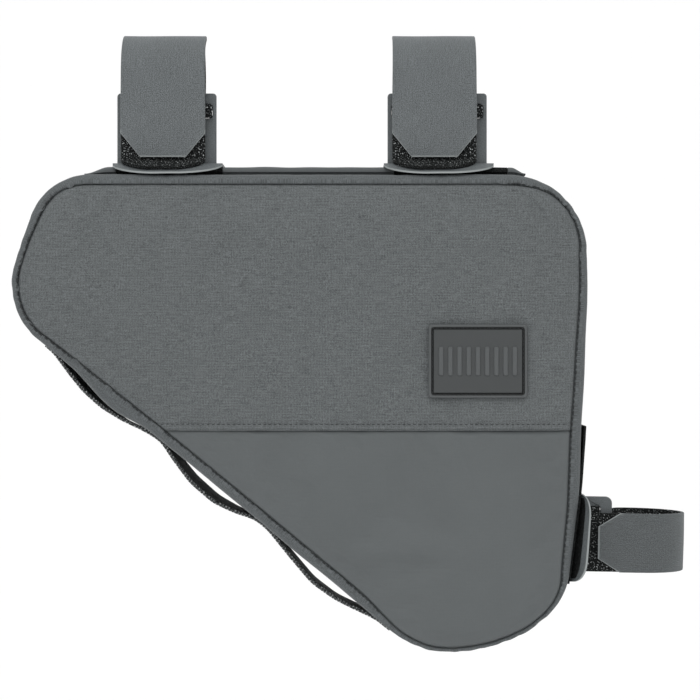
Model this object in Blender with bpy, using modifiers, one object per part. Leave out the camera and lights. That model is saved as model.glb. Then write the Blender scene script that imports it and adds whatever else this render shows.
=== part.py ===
"""Bicycle frame bag: a hollow triangular bag that hangs in a bicycle frame on three straps.

The origin is on the top tube's axis, midway between the two top straps. +X runs along the
bag towards the seat tube, -Y is the front face and +Z is up. The bag's outline is a polygon
with rounded corners. A padded side wall, the gusset, runs round it, and a padded panel closes
each face. Three slotted feet stand on the gusset, and a strap loops from each round a tube.
"""
import math
from collections import namedtuple

import bmesh
import bpy
from mathutils import Matrix, Vector
from mathutils.geometry import intersect_line_line_2d, intersect_point_line

MM = 0.001
GAP = 0.3 * MM                      # clearance between neighbouring pieces
ARC_STEP = math.radians(11)         # turn between two points of a large rounded corner
ARC_SAG = 0.04 * MM                 # how far a small corner's straight steps may cut inside it
STRAIGHT = math.radians(179.9)      # a corner that opens wider than this needs no arc
SAME_PLACE = 0.01 * MM              # points nearer than this count as one

# Bag body
BAG_LENGTH = 258.2 * MM
BAG_HEIGHT = 215.2 * MM
NOSE_REACH = 128.1 * MM             # from the middle of the top straps to the bag's nose
TOP_DROP = 47.9 * MM                # from the top tube's axis down to the gusset's top
SEAM_DEPTH = 54.0 * MM              # from the front seam to the back seam
SEAM_INSET = 4.7 * MM               # how far a seam lies inside the gusset's widest line
SEAM_LIP = 1.0 * MM                 # flat edge of the gusset beside a seam
SHOULDER_SHAPE = 1.15               # depth of the gusset's round shoulder over its height
SHOULDER_STEPS = 4
GUSSET_WALL = 2.0 * MM
PANEL_WALL = 3.0 * MM
FRONT_DOME = 4.5 * MM
BACK_DOME = 2.5 * MM
DOME_REACH = 30.0 * MM              # width of the panel's rounded edge, inwards from its seam
PANEL_RINGS = (0.16, 0.46)          # cuts along each long side of a panel, over DOME_REACH
LONG_SIDE = 40.0 * MM
PANEL_GRID = 20.0 * MM
PANEL_SEAM_DROP = 113.6 * MM        # from the gusset's top down to the front panel's cross seam

# Zip in the back panel
ZIP_DROP = 24.0 * MM
ZIP_WIDTH = 12.0 * MM
ZIP_WALL = 1.5 * MM

# Corners of the outline: place along the bag, place down the bag, radius over its height,
# and the seam's inset there over SEAM_INSET
Corner = namedtuple("Corner", "name along down radius inset")
OUTLINE = [
    Corner("nose_top", 0.056, 0.000, 0.126, 1.00),
    Corner("rear_top", 0.995, 0.000, 0.149, 1.04),
    Corner("rear_high", 1.001, 0.262, 1.050, 1.04),
    Corner("rear_middle", 0.993, 0.534, 1.050, 1.00),
    Corner("rear_low", 0.985, 0.669, 0.840, 0.96),
    Corner("heel_top", 0.964, 0.858, 0.310, 0.84),
    Corner("heel", 0.947, 0.936, 0.105, 0.76),
    Corner("toe", 0.717, 1.011, 0.126, 0.76),
    Corner("nose_low", -0.023, 0.278, 0.151, 0.98),
]

# Pads on the gusset's top, seen from the nose: start and end along the bag, and how much of
# each end slopes down, over PAD_SLOPE
PAD_THICKNESS = 3.6 * MM
PAD_WIDTH = 34.0 * MM
PAD_SLOPE = 11.0 * MM
PAD_EDGE = 0.8 * MM
PAD_EDGE_STEPS = 2
Pad = namedtuple("Pad", "name start end start_slope end_slope")
TOP_PADS = [
    Pad("top_pad_nose", 0.120, 0.176, 1.0, 0.0),
    Pad("loop_pad_front", 0.176, 0.3635, 0.0, 0.0),
    Pad("top_pad_middle", 0.3635, 0.6435, 0.0, 0.0),
    Pad("loop_pad_rear", 0.6435, 0.862, 0.0, 0.0),
    Pad("top_pad_tail", 0.862, 0.894, 0.0, 0.6),
]

# Loop patch on the gusset beside the seat tube
SEAT_PATCH_TOP = 113.0 * MM         # from the gusset's top down to the patch's upper end
SEAT_PATCH_LENGTH = 71.0 * MM
SEAT_PATCH_WIDTH = 42.0 * MM
SEAT_PATCH_THICKNESS = 1.0 * MM

# Label
LABEL_LENGTH = 44.0 * MM
LABEL_HEIGHT = 32.8 * MM
LABEL_REAR = 28.0 * MM              # from the bag's rear end to the label's near edge
LABEL_DROP = 67.4 * MM              # from the gusset's top down to the label's upper edge
LABEL_BASE = 1.0 * MM
LABEL_RELIEF = 0.6 * MM             # height of the rim and the ribs over the label's field
LABEL_RIM = 1.6 * MM
LABEL_ROUND = 1.2 * MM
LABEL_RIBS = 9
RIB_PITCH = 4.1 * MM
RIB_WIDTH = 2.3 * MM
RIB_HEIGHT = 13.0 * MM
RIB_ROUND = RIB_WIDTH / 3

# Straps, tabs and feet
STRAP_THICKNESS = 1.8 * MM
WRAP_SHARE = 0.99                   # corner radius of the strap round its tube, over the full one
TAB_THICKNESS = 1.6 * MM
FOOT_THICKNESS = 1.4 * MM
EAR_REACH = 13.3 * MM               # from the tube's axis forward to the middle of the ear
HEM_LENGTH = 5.3 * MM               # strap end that hangs in front of the ear
HEM_ROUND = 2.0 * MM
HEM_SHARE = 0.90                    # hem width over strap width
STRAP_END_SHARE = 0.54              # width of the strap's cut end over strap width
TAB_TOE = 3.0 * MM                  # bare lip in front of the tab
TAB_ROUND = 1.5 * MM
TAB_TIP_SHARE = 0.45                # width of the tab's front end over its full width
TAB_TAPER = 5.0 * MM
FLANGE_BACK = 20.0 * MM             # from the tube's axis back to the flange's end
FLANGE_LIP = 9.5 * MM               # sloping front lip of the flange
FLANGE_LIP_STEPS = 6
FLANGE_TIP_SHARE = 0.25
EAR_ROUND = 1.6 * MM
SLOT_ROUND_SHARE = 0.28             # corner radius of the slot over its height
TOP_STRAP_SPACING = 122.6 * MM
SEAT_STRAP_DROP = 165.5 * MM        # from the gusset's top down to the seat strap's middle
SEAT_FOOT_HEIGHT = 30.5 * MM        # from the seat tube's axis to the flange's underside
SEAT_STRAP_TILT = math.radians(1.0)

StrapSize = namedtuple(
    "StrapSize",
    "width tube slack front_reach chamfer tab_top slot_height slot_width slot_shift"
    " ear_width ear_shift bar flange_width flange_shift lip_drop")
TOP_SIZE = StrapSize(
    width=38.0 * MM, tube=28.6 * MM, slack=1.0 * MM, front_reach=39.6 * MM, chamfer=10.8 * MM,
    tab_top=7.0 * MM, slot_height=6.3 * MM, slot_width=41.4 * MM, slot_shift=1.4 * MM,
    ear_width=45.0 * MM, ear_shift=1.4 * MM, bar=4.7 * MM,
    flange_width=49.6 * MM, flange_shift=2.0 * MM, lip_drop=4.5 * MM)
SEAT_SIZE = StrapSize(
    width=26.5 * MM, tube=34.9 * MM, slack=1.8 * MM, front_reach=20.4 * MM, chamfer=9.8 * MM,
    tab_top=9.5 * MM, slot_height=3.4 * MM, slot_width=29.0 * MM, slot_shift=-1.8 * MM,
    ear_width=34.1 * MM, ear_shift=-3.4 * MM, bar=5.2 * MM,
    flange_width=39.3 * MM, flange_shift=-1.7 * MM, lip_drop=-4.0 * MM)

# Webbing along the sloping side: bays between stitched spots, over the straight side's length,
# and the height of each bay over WEB_LIFT
WEB_WIDTH = 20.0 * MM
WEB_THICKNESS = 1.6 * MM
WEB_LIFT = 6.0 * MM
WEB_STITCH = 5.0 * MM               # length that lies flat at each stitched spot
WEB_STEPS = 10
Bay = namedtuple("Bay", "start end lift")
WEB_BAYS = [
    Bay(0.036, 0.328, 0.92),
    Bay(0.328, 0.612, 1.00),
    Bay(0.612, 0.952, 0.96),
]

HALF_DEPTH = SEAM_DEPTH / 2
BAG_TOP = -TOP_DROP

OutlinePoint = namedtuple("OutlinePoint", "place normal inset corner")


def material(name, colour, roughness, metallic=0.0):
    """Principled material with one colour."""
    made = bpy.data.materials.new(name)
    made.use_nodes = True
    shader = made.node_tree.nodes["Principled BSDF"]
    shader.inputs["Base Color"].default_value = (*colour, 1.0)
    shader.inputs["Roughness"].default_value = roughness
    shader.inputs["Metallic"].default_value = metallic
    made.diffuse_color = (*colour, 1.0)
    return made


def add_object(name, data, finish, collection):
    """Object of a mesh or curve, with one material, in a collection."""
    made = bpy.data.objects.new(name, data)
    data.materials.append(finish)
    collection.objects.link(made)
    return made


def as_cutter(tool):
    """Marks an object that only shapes another."""
    tool.hide_render = True
    tool.display_type = "WIRE"
    return tool


def boolean(target, tool, operation):
    """Boolean modifier with the exact solver."""
    step = target.modifiers.new(tool.name, "BOOLEAN")
    step.object = tool
    step.operation = operation
    step.solver = "EXACT"


def solidify(target, thickness, offset):
    """Solidify modifier: offset -1 thickens inwards and 0 to both sides."""
    wall = target.modifiers.new("wall", "SOLIDIFY")
    wall.thickness = thickness
    wall.offset = offset


def corner_arc(before, corner, after, radius):
    """Points of the arc that rounds one corner of a polygon, as 2D vectors."""
    towards = (before - corner).normalized()
    away = (after - corner).normalized()
    opening = towards.angle(away)
    if radius <= 0.0 or opening > STRAIGHT:
        return [corner]
    reach = radius / math.tan(opening / 2)
    centre = corner + (towards + away).normalized() * (radius / math.sin(opening / 2))
    first = corner + towards * reach - centre
    turn = math.pi - opening
    if first.x * towards.y - first.y * towards.x > 0:
        turn = -turn
    small = 2 * math.acos(max(0.0, 1 - ARC_SAG / radius))
    steps = max(1, math.ceil(abs(turn) / max(ARC_STEP, small)))
    return [centre + Matrix.Rotation(turn * k / steps, 2) @ first for k in range(steps + 1)]


def rounded_path(points):
    """Open path through (x, y, radius) points with its inner corners rounded."""
    flat = [Vector(point[:2]) for point in points]
    path = [flat[0]]
    for index in range(1, len(points) - 1):
        path += corner_arc(flat[index - 1], flat[index], flat[index + 1], points[index][2])
    path.append(flat[-1])
    return path


def path_lengths(path):
    """Distance of each point of a path from its start."""
    lengths = [0.0]
    for first, second in zip(path, path[1:]):
        lengths.append(lengths[-1] + (second - first).length)
    return lengths


def with_stations(path, distances):
    """Path with an extra point at each given distance from its start."""
    lengths = path_lengths(path)
    marks = list(zip(lengths, path))
    for distance in distances:
        for index in range(1, len(path)):
            low, high = lengths[index - 1], lengths[index]
            if low + SAME_PLACE < distance < high - SAME_PLACE:
                part = (distance - low) / (high - low)
                marks.append((distance, path[index - 1].lerp(path[index], part)))
    marks.sort(key=lambda mark: mark[0])
    return [place for _, place in marks]


def outline_points():
    """The gusset's widest line as rounded corners, each point with its outward normal."""
    corners = [Vector((corner.along * BAG_LENGTH - NOSE_REACH, BAG_TOP - corner.down * BAG_HEIGHT))
               for corner in OUTLINE]
    points = []
    count = len(corners)
    for index, corner in enumerate(OUTLINE):
        arc = corner_arc(corners[index - 1], corners[index], corners[(index + 1) % count],
                         corner.radius * BAG_HEIGHT)
        start = (corners[index] - corners[index - 1]).normalized()
        end = (corners[(index + 1) % count] - corners[index]).normalized()
        for step, place in enumerate(arc):
            along = start.slerp(end, step / max(1, len(arc) - 1))
            normal = Vector((-along.y, along.x))
            points.append(OutlinePoint(place, normal, corner.inset * SEAM_INSET, corner.name))
    return points


def gusset_section(inset):
    """(inward distance, depth) pairs across the gusset, from front seam to back seam."""
    height = inset - SEAM_LIP
    depth = height * SHOULDER_SHAPE
    front = [(inset, -HALF_DEPTH)]
    for step in range(SHOULDER_STEPS + 1):
        angle = math.radians(90) * step / SHOULDER_STEPS
        front.append((height * (1 - math.sin(angle)), -HALF_DEPTH + depth * (1 - math.cos(angle))))
    return front + [(inward, -place) for inward, place in reversed(front)]


def grid_mesh(name, rows, closed):
    """Open surface through rows of 3D points; closed joins the last row to the first."""
    shape = bmesh.new()
    lines = [[shape.verts.new(point) for point in row] for row in rows]
    pairs = list(zip(lines, lines[1:]))
    if closed:
        pairs.append((lines[-1], lines[0]))
    for first, second in pairs:
        for column in range(len(first) - 1):
            shape.faces.new((first[column], first[column + 1], second[column + 1], second[column]))
    data = bpy.data.meshes.new(name)
    shape.to_mesh(data)
    shape.free()
    return data


def gusset(outline, finish, collection):
    """Padded wall round the outline, open at both seams."""
    rows = []
    for point in outline:
        row = []
        for inward, depth in reversed(gusset_section(point.inset)):
            flat = point.place - point.normal * inward
            row.append((flat.x, depth, flat.y))
        rows.append(row)
    wall = add_object("gusset", grid_mesh("gusset", rows, True), finish, collection)
    solidify(wall, GUSSET_WALL, -1.0)
    return wall


def seam_line(outline, gap=0.0):
    """The seam's flat outline, moved inwards by a gap."""
    return [point.place - point.normal * (point.inset + gap) for point in outline]


def seam_distance(place, seam):
    """Distance of a flat point from the seam."""
    nearest = math.inf
    for index, end in enumerate(seam):
        foot, part = intersect_point_line(place, seam[index - 1], end)
        part = min(1.0, max(0.0, part))
        foot = seam[index - 1].lerp(end, part)
        nearest = min(nearest, (place - foot).length)
    return nearest


def dome_height(distance, dome):
    """Height of a panel's dome at a distance from its seam."""
    part = min(1.0, distance / DOME_REACH)
    return dome * (1 - (1 - part) ** 2)


def panel(name, outline, side, dome, wall, low, high, finish, collection):
    """Domed panel piece between two heights; side is -1 at the front and 1 at the back."""
    seam = seam_line(outline)
    shape = bmesh.new()
    ring = [shape.verts.new((place.x, 0, place.y)) for place in seam_line(outline, GAP)]
    whole = shape.faces.new(ring)
    whole.normal_update()
    if whole.normal.y * side < 0:
        whole.normal_flip()
    for height, direction in ((low, -1), (high, 1)):
        if height is not None:
            bmesh.ops.bisect_plane(shape, geom=shape.verts[:] + shape.edges[:] + shape.faces[:],
                                   plane_co=(0, 0, height), plane_no=(0, 0, direction),
                                   clear_outer=True)
    cuts = []
    for index, point in enumerate(outline):
        before = outline[index - 1]
        if (point.place - before.place).length > LONG_SIDE:
            for share in PANEL_RINGS:
                inward = point.inset + DOME_REACH * share
                cuts.append((point.place - point.normal * inward, point.normal))
    for axis in (0, 1):
        values = [(vert.co.x, vert.co.z)[axis] for vert in shape.verts]
        count = max(1, round((max(values) - min(values)) / PANEL_GRID))
        for step in range(1, count):
            place = Vector((0, 0))
            place[axis] = min(values) + (max(values) - min(values)) * step / count
            normal = Vector((1 - axis, axis))
            cuts.append((place, normal))
    for place, normal in cuts:
        bmesh.ops.bisect_plane(shape, geom=shape.verts[:] + shape.edges[:] + shape.faces[:],
                               plane_co=(place.x, 0, place.y), plane_no=(normal.x, 0, normal.y))
    for vert in shape.verts:
        distance = seam_distance(Vector((vert.co.x, vert.co.z)), seam)
        vert.co.y = side * (HALF_DEPTH + dome_height(distance, dome))
    bmesh.ops.triangulate(shape, faces=shape.faces[:])
    data = bpy.data.meshes.new(name)
    shape.to_mesh(data)
    shape.free()
    piece = add_object(name, data, finish, collection)
    solidify(piece, wall, -1.0)
    return piece


def top_pad(pad, finish, collection):
    """Flat pad on the gusset's top, with sloping ends where the table says so."""
    start = pad.start * BAG_LENGTH - NOSE_REACH + GAP / 2
    end = pad.end * BAG_LENGTH - NOSE_REACH - GAP / 2
    low = BAG_TOP + GAP
    high = low + PAD_THICKNESS
    edge = low + PAD_EDGE
    profile = [(start, low), (end, low)]
    if pad.end_slope:
        profile += [(end, edge)]
    profile += [(end - pad.end_slope * PAD_SLOPE, high), (start + pad.start_slope * PAD_SLOPE, high)]
    if pad.start_slope:
        profile += [(start, edge)]
    data = flat_curve(pad.name, [profile], PAD_WIDTH)
    frame = axes_matrix(Vector((1, 0, 0)), Vector((0, 0, 1)), Vector((0, -1, 0)), Vector((0, 0, 0)))
    piece = curve_to_mesh(pad.name, data, frame, finish, collection)
    rounding = piece.modifiers.new("edges", "BEVEL")
    rounding.width = PAD_EDGE
    rounding.segments = PAD_EDGE_STEPS
    rounding.limit_method = "ANGLE"
    return piece


def axes_matrix(first, second, third, origin):
    """Matrix whose columns are three axes and an origin."""
    matrix = Matrix((first, second, third)).transposed().to_4x4()
    matrix.translation = origin
    return matrix


def flat_curve(name, loops, thickness):
    """Filled 2D curve of closed loops, extruded to a thickness about its plane."""
    data = bpy.data.curves.new(name, "CURVE")
    data.dimensions = "2D"
    data.fill_mode = "BOTH"
    data.extrude = thickness / 2
    for loop in loops:
        spline = data.splines.new("POLY")
        spline.points.add(len(loop) - 1)
        for point, place in zip(spline.points, loop):
            point.co = (place[0], place[1], 0, 1)
        spline.use_cyclic_u = True
    return data


def curve_to_mesh(name, data, frame, finish, collection):
    """Closed mesh object of a filled curve."""
    guide = bpy.data.objects.new(name + "_outline", data)
    collection.objects.link(guide)
    bpy.context.view_layer.update()
    depsgraph = bpy.context.evaluated_depsgraph_get()
    made = bpy.data.meshes.new_from_object(guide.evaluated_get(depsgraph))
    bpy.data.objects.remove(guide)
    shape = bmesh.new()
    shape.from_mesh(made)
    bmesh.ops.remove_doubles(shape, verts=shape.verts[:], dist=SAME_PLACE)
    bmesh.ops.recalc_face_normals(shape, faces=shape.faces[:])
    shape.to_mesh(made)
    shape.free()
    made.name = name
    piece = add_object(name, made, finish, collection)
    piece.matrix_world = frame
    return piece


def closed_rounded(points):
    """Closed loop through (x, y, radius) points with its corners rounded."""
    flat = [Vector(point[:2]) for point in points]
    count = len(flat)
    loop = []
    for index, point in enumerate(points):
        loop += corner_arc(flat[index - 1], flat[index], flat[(index + 1) % count], point[2])
    return loop


def rectangle(centre_x, centre_y, width, height, radius):
    """Corners of a rounded rectangle."""
    left, right = centre_x - width / 2, centre_x + width / 2
    low, high = centre_y - height / 2, centre_y + height / 2
    return closed_rounded([(left, low, radius), (right, low, radius),
                           (right, high, radius), (left, high, radius)])


def ribbon(name, path, half_widths, thickness, frame, lean, finish, collection, shift=0.0):
    """Band along a path in the frame's first two axes; lean shears its low end sideways."""
    rows = []
    for place, half in zip(path, half_widths):
        row = []
        for side in (shift - half, shift + half):
            row.append(frame @ Vector((place.x, place.y + lean(place.y) * side, side)))
        rows.append(row)
    band = add_object(name, grid_mesh(name, rows, False), finish, collection)
    solidify(band, thickness, 0.0)
    return band


def upright(_height):
    """No lean."""
    return 0.0


def taper(lengths, half, start=(0.0, 0.0, 1.0), end=(0.0, 0.0, 1.0)):
    """Half widths that hold a share at an end for one length and are full at another."""
    total = lengths[-1]
    widths = []
    for place in lengths:
        share = 1.0
        for room, (hold, full, tip) in ((place, start), (total - place, end)):
            if room < full:
                share = min(share, tip + (1 - tip) * max(0.0, room - hold) / (full - hold))
        widths.append(half * share)
    return widths


def strap(name, size, frame, finish, collection):
    """Strap from a hem in front of the ear, through its slot, round the tube to the cut end."""
    radius = size.tube / 2 + size.slack + STRAP_THICKNESS / 2
    hem = hem_depth()
    front = tab_depth() - (TAB_THICKNESS + STRAP_THICKNESS) / 2 - GAP
    path = rounded_path([
        (hem, -radius - HEM_LENGTH, 0),
        (hem, -radius, HEM_ROUND),
        (radius, -radius, radius * WRAP_SHARE),
        (radius, radius, radius * WRAP_SHARE),
        (front, radius, radius * WRAP_SHARE),
        (front, -size.front_reach, 0),
    ])
    total = path_lengths(path)[-1]
    narrow = HEM_LENGTH + EAR_REACH
    full = narrow + EAR_REACH
    path = with_stations(path, [narrow, full, total - size.chamfer])
    halves = taper(path_lengths(path), size.width / 2, start=(narrow, full, HEM_SHARE),
                   end=(0.0, size.chamfer, STRAP_END_SHARE))
    return ribbon(name, path, halves, STRAP_THICKNESS, frame, upright, finish, collection)


def hem_depth():
    """Depth of the hem's middle, in front of the ear."""
    return -EAR_REACH - (FOOT_THICKNESS + STRAP_THICKNESS) / 2 - GAP


def tab_depth():
    """Depth of the tab's middle, in front of the hem."""
    return hem_depth() - (STRAP_THICKNESS + TAB_THICKNESS) / 2 - GAP


def lip_points(size, base):
    """Start and tip of the flange's lip, at its middle surface."""
    level = base + FOOT_THICKNESS / 2
    start = Vector((-PAD_WIDTH / 2 - 2 * GAP, level))
    return start, start + Vector((-FLANGE_LIP, -size.lip_drop))


def tab(name, size, frame, base, lean, finish, collection):
    """Hook-faced tab: its foot lies on the lip, and it rises in front of the ear."""
    start, tip = lip_points(size, base)
    along = (start - tip).normalized()
    raised = Vector((-along.y, along.x)) * ((FOOT_THICKNESS + TAB_THICKNESS) / 2 + GAP)
    depth = tab_depth()
    toe = tip + raised + along * TAB_TOE
    corner = intersect_line_line_2d(toe, toe + along * BAG_LENGTH,
                                    Vector((depth, base - BAG_LENGTH)), Vector((depth, BAG_LENGTH)))
    path = rounded_path([(toe.x, toe.y, 0), (corner.x, corner.y, TAB_ROUND),
                         (depth, -size.tab_top, 0)])
    path = with_stations(path, [TAB_TAPER])
    halves = taper(path_lengths(path), size.width / 2, start=(0.0, TAB_TAPER, TAB_TIP_SHARE))
    return ribbon(name, path, halves, TAB_THICKNESS, frame, lean, finish, collection)


def foot(name, size, frame, base, lean, finish, collection, cutters):
    """Foot: a flange on the bag with a rounded front lip, and an ear with a slot."""
    start, tip = lip_points(size, base)
    path = [Vector((FLANGE_BACK, start.y)), start]
    halves = [size.flange_width / 2, size.flange_width / 2]
    for step in range(1, FLANGE_LIP_STEPS + 1):
        part = step / FLANGE_LIP_STEPS
        path.append(start.lerp(tip, part))
        round_share = math.sqrt(1 - part ** 2 * (1 - FLANGE_TIP_SHARE ** 2))
        halves.append(size.flange_width / 2 * round_share)
    flange = ribbon(name, path, halves, FOOT_THICKNESS, frame, lean, finish, collection,
                    size.flange_shift)
    radius = size.tube / 2 + size.slack + STRAP_THICKNESS / 2
    slot_top = -radius + STRAP_THICKNESS / 2 + GAP
    ear_top = slot_top + size.bar
    left = size.ear_shift - size.ear_width / 2
    right = size.ear_shift + size.ear_width / 2
    left_low = start.y + lean(base) * left
    right_low = start.y + lean(base) * right
    outer = closed_rounded([(left, left_low, 0), (right, right_low, 0),
                            (right, ear_top, EAR_ROUND), (left, ear_top, EAR_ROUND)])
    slot = rectangle(size.slot_shift, slot_top - size.slot_height / 2, size.slot_width,
                     size.slot_height, size.slot_height * SLOT_ROUND_SHARE)
    data = flat_curve(name + "_ear", [outer, slot], FOOT_THICKNESS)
    turned = frame @ axes_matrix(Vector((0, 0, 1)), Vector((0, 1, 0)), Vector((-1, 0, 0)),
                                 Vector((-EAR_REACH, 0, 0)))
    ear = as_cutter(curve_to_mesh(name + "_ear", data, turned, finish, cutters))
    boolean(flange, ear, "UNION")
    return flange


def rear_side(outline, height):
    """Place on the gusset's rear side at a height, and the side's outward normal there."""
    rear = [point for point in outline if point.corner.startswith(("rear", "heel_top"))]
    for first, second in zip(rear, rear[1:]):
        if second.place.y <= height <= first.place.y and first.place.y > second.place.y:
            part = (first.place.y - height) / (first.place.y - second.place.y)
            return first.place.lerp(second.place, part), first.normal.lerp(second.normal, part)
    return rear[-1].place, rear[-1].normal


def seat_patch(outline, finish, collection):
    """Loop patch that follows the gusset's rear side."""
    high = BAG_TOP - SEAT_PATCH_TOP
    low = high - SEAT_PATCH_LENGTH
    heights = [high] + [point.place.y for point in outline
                        if point.corner.startswith(("rear", "heel_top")) and low < point.place.y < high]
    heights.append(low)
    path = []
    for height in heights:
        place, normal = rear_side(outline, height)
        path.append(place + normal.normalized() * (GAP + SEAT_PATCH_THICKNESS / 2))
    frame = axes_matrix(Vector((1, 0, 0)), Vector((0, 0, 1)), Vector((0, 1, 0)), Vector((0, 0, 0)))
    halves = [SEAT_PATCH_WIDTH / 2] * len(path)
    return ribbon("loop_patch_seat", path, halves, SEAT_PATCH_THICKNESS, frame, upright,
                  finish, collection)


def webbing(outline, finish, collection):
    """Webbing stitched down at spots along the sloping side, with a low arch in each bay."""
    low = [point.place for point in outline if point.corner == "toe"][-1]
    high = [point.place for point in outline if point.corner == "nose_low"][0]
    along = (low - high).normalized()
    out = Vector((along.y, -along.x))
    length = (low - high).length
    rest = GAP + WEB_THICKNESS / 2
    path = [Vector((WEB_BAYS[0].start * length - WEB_STITCH, rest))]
    for bay in WEB_BAYS:
        start = bay.start * length + WEB_STITCH / 2
        end = bay.end * length - WEB_STITCH / 2
        for step in range(WEB_STEPS + 1):
            part = step / WEB_STEPS
            arch = 1 - (2 * part - 1) ** 2
            path.append(Vector((start + (end - start) * part, rest + arch * bay.lift * WEB_LIFT)))
    path.append(Vector((WEB_BAYS[-1].end * length + WEB_STITCH, rest)))
    frame = axes_matrix(Vector((along.x, 0, along.y)), Vector((out.x, 0, out.y)),
                        Vector((0, 1, 0)), Vector((high.x, 0, high.y)))
    halves = [WEB_WIDTH / 2] * len(path)
    return ribbon("webbing", path, halves, WEB_THICKNESS, frame, upright, finish, collection)


def label(finish, collection, cutters):
    """Moulded label with a raised rim and a row of plain upright ribs."""
    centre_x = BAG_LENGTH - NOSE_REACH - LABEL_REAR - LABEL_LENGTH / 2
    centre_z = BAG_TOP - LABEL_DROP - LABEL_HEIGHT / 2
    back = -HALF_DEPTH - FRONT_DOME - GAP
    thickness = LABEL_BASE + LABEL_RELIEF
    side = Vector((1, 0, 0))
    up = Vector((0, 0, 1))
    out = Vector((0, -1, 0))
    frame = axes_matrix(side, up, out, Vector((centre_x, back - thickness / 2, centre_z)))
    outer = rectangle(0, 0, LABEL_LENGTH, LABEL_HEIGHT, LABEL_ROUND)
    plate = curve_to_mesh("label", flat_curve("label", [outer], thickness), frame, finish, collection)
    field = rectangle(0, 0, LABEL_LENGTH - 2 * LABEL_RIM, LABEL_HEIGHT - 2 * LABEL_RIM, LABEL_ROUND)
    ribs = []
    for index in range(LABEL_RIBS):
        place = (index - (LABEL_RIBS - 1) / 2) * RIB_PITCH
        ribs.append(rectangle(place, 0, RIB_WIDTH, RIB_HEIGHT, RIB_ROUND))
    tools = (("label_field", [field], 2 * LABEL_RELIEF, -thickness, "DIFFERENCE"),
             ("label_ribs", ribs, 2 * LABEL_RELIEF, LABEL_RELIEF - thickness, "UNION"))
    for name, loops, height, depth, operation in tools:
        place = frame.copy()
        place.translation.y = back + depth
        tool = curve_to_mesh(name, flat_curve(name, loops, height), place, finish, cutters)
        boolean(plate, as_cutter(tool), operation)
    return plate


def build():
    """Every sub-part of the bag."""
    for thing in list(bpy.data.objects):
        bpy.data.objects.remove(thing)
    collection = bpy.data.collections.new("bicycle_frame_bag")
    cutters = bpy.data.collections.new("bicycle_frame_bag_cutters")
    for group in (collection, cutters):
        bpy.context.scene.collection.children.link(group)
    outline = outline_points()

    cloth = material("ripstop_cloth", (0.140, 0.152, 0.155), 0.75)
    coated = material("coated_cloth", (0.135, 0.146, 0.149), 0.55)
    edge_cloth = material("gusset_cloth", (0.125, 0.136, 0.139), 0.70)
    strap_cloth = material("strap_cloth", (0.120, 0.130, 0.133), 0.80)
    moulding = material("foot_moulding", (0.075, 0.082, 0.084), 0.50)
    hook_cloth = material("hook_cloth", (0.010, 0.011, 0.011), 0.90)
    label_rubber = material("label_rubber", (0.080, 0.086, 0.088), 0.60)
    web_cloth = material("webbing_cloth", (0.040, 0.043, 0.044), 0.85)
    zip_cloth = material("zip_tape", (0.030, 0.032, 0.033), 0.70)

    gusset(outline, edge_cloth, collection)
    cross = BAG_TOP - PANEL_SEAM_DROP
    panel("front_panel_upper", outline, -1, FRONT_DOME, PANEL_WALL, cross + GAP / 2, None,
          cloth, collection)
    panel("front_panel_lower", outline, -1, FRONT_DOME, PANEL_WALL, None, cross - GAP / 2,
          coated, collection)
    zip_top = BAG_TOP - ZIP_DROP
    zip_low = zip_top - ZIP_WIDTH
    panel("back_panel_upper", outline, 1, BACK_DOME, PANEL_WALL, zip_top + GAP / 2, None,
          cloth, collection)
    panel("zip", outline, 1, BACK_DOME, ZIP_WALL, zip_low + GAP / 2, zip_top - GAP / 2,
          zip_cloth, collection)
    panel("back_panel_lower", outline, 1, BACK_DOME, PANEL_WALL, None, zip_low - GAP / 2,
          cloth, collection)
    for pad in TOP_PADS:
        top_pad(pad, hook_cloth if pad.name.startswith("loop") else coated, collection)
    seat_patch(outline, hook_cloth, collection)
    label(label_rubber, collection, cutters)
    webbing(outline, web_cloth, collection)

    base = BAG_TOP + GAP + PAD_THICKNESS + GAP
    for name, side in (("front", -1), ("rear", 1)):
        place = Vector((side * TOP_STRAP_SPACING / 2, 0, 0))
        frame = axes_matrix(Vector((0, 1, 0)), Vector((0, 0, 1)), Vector((1, 0, 0)), place)
        foot("foot_" + name, TOP_SIZE, frame, base, upright, moulding, collection, cutters)
        tab("tab_" + name, TOP_SIZE, frame, base, upright, hook_cloth, collection)
        strap("strap_" + name, TOP_SIZE, frame, strap_cloth, collection)

    side_place, side_normal = rear_side(outline, BAG_TOP - SEAT_STRAP_DROP)
    up = Vector((math.cos(SEAT_STRAP_TILT), 0, -math.sin(SEAT_STRAP_TILT)))
    stack = (2 * GAP + SEAT_PATCH_THICKNESS) / side_normal.normalized().x
    place = Vector((side_place.x + stack, 0, side_place.y)) + up * SEAT_FOOT_HEIGHT
    frame = axes_matrix(Vector((0, 1, 0)), up, Vector((0, 1, 0)).cross(up), place)
    slope = math.atan2(side_normal.y, side_normal.x) + SEAT_STRAP_TILT

    def seat_lean(height):
        """Sideways slope of the foot, which follows the gusset and fades out by the slot."""
        fade = (-height - SEAT_SIZE.tube / 2) / (SEAT_FOOT_HEIGHT - SEAT_SIZE.tube / 2)
        return math.tan(slope) * min(1.0, max(0.0, fade))

    foot("foot_seat", SEAT_SIZE, frame, -SEAT_FOOT_HEIGHT, seat_lean, moulding, collection, cutters)
    tab("tab_seat", SEAT_SIZE, frame, -SEAT_FOOT_HEIGHT, seat_lean, hook_cloth, collection)
    strap("strap_seat", SEAT_SIZE, frame, strap_cloth, collection)


build()
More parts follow.
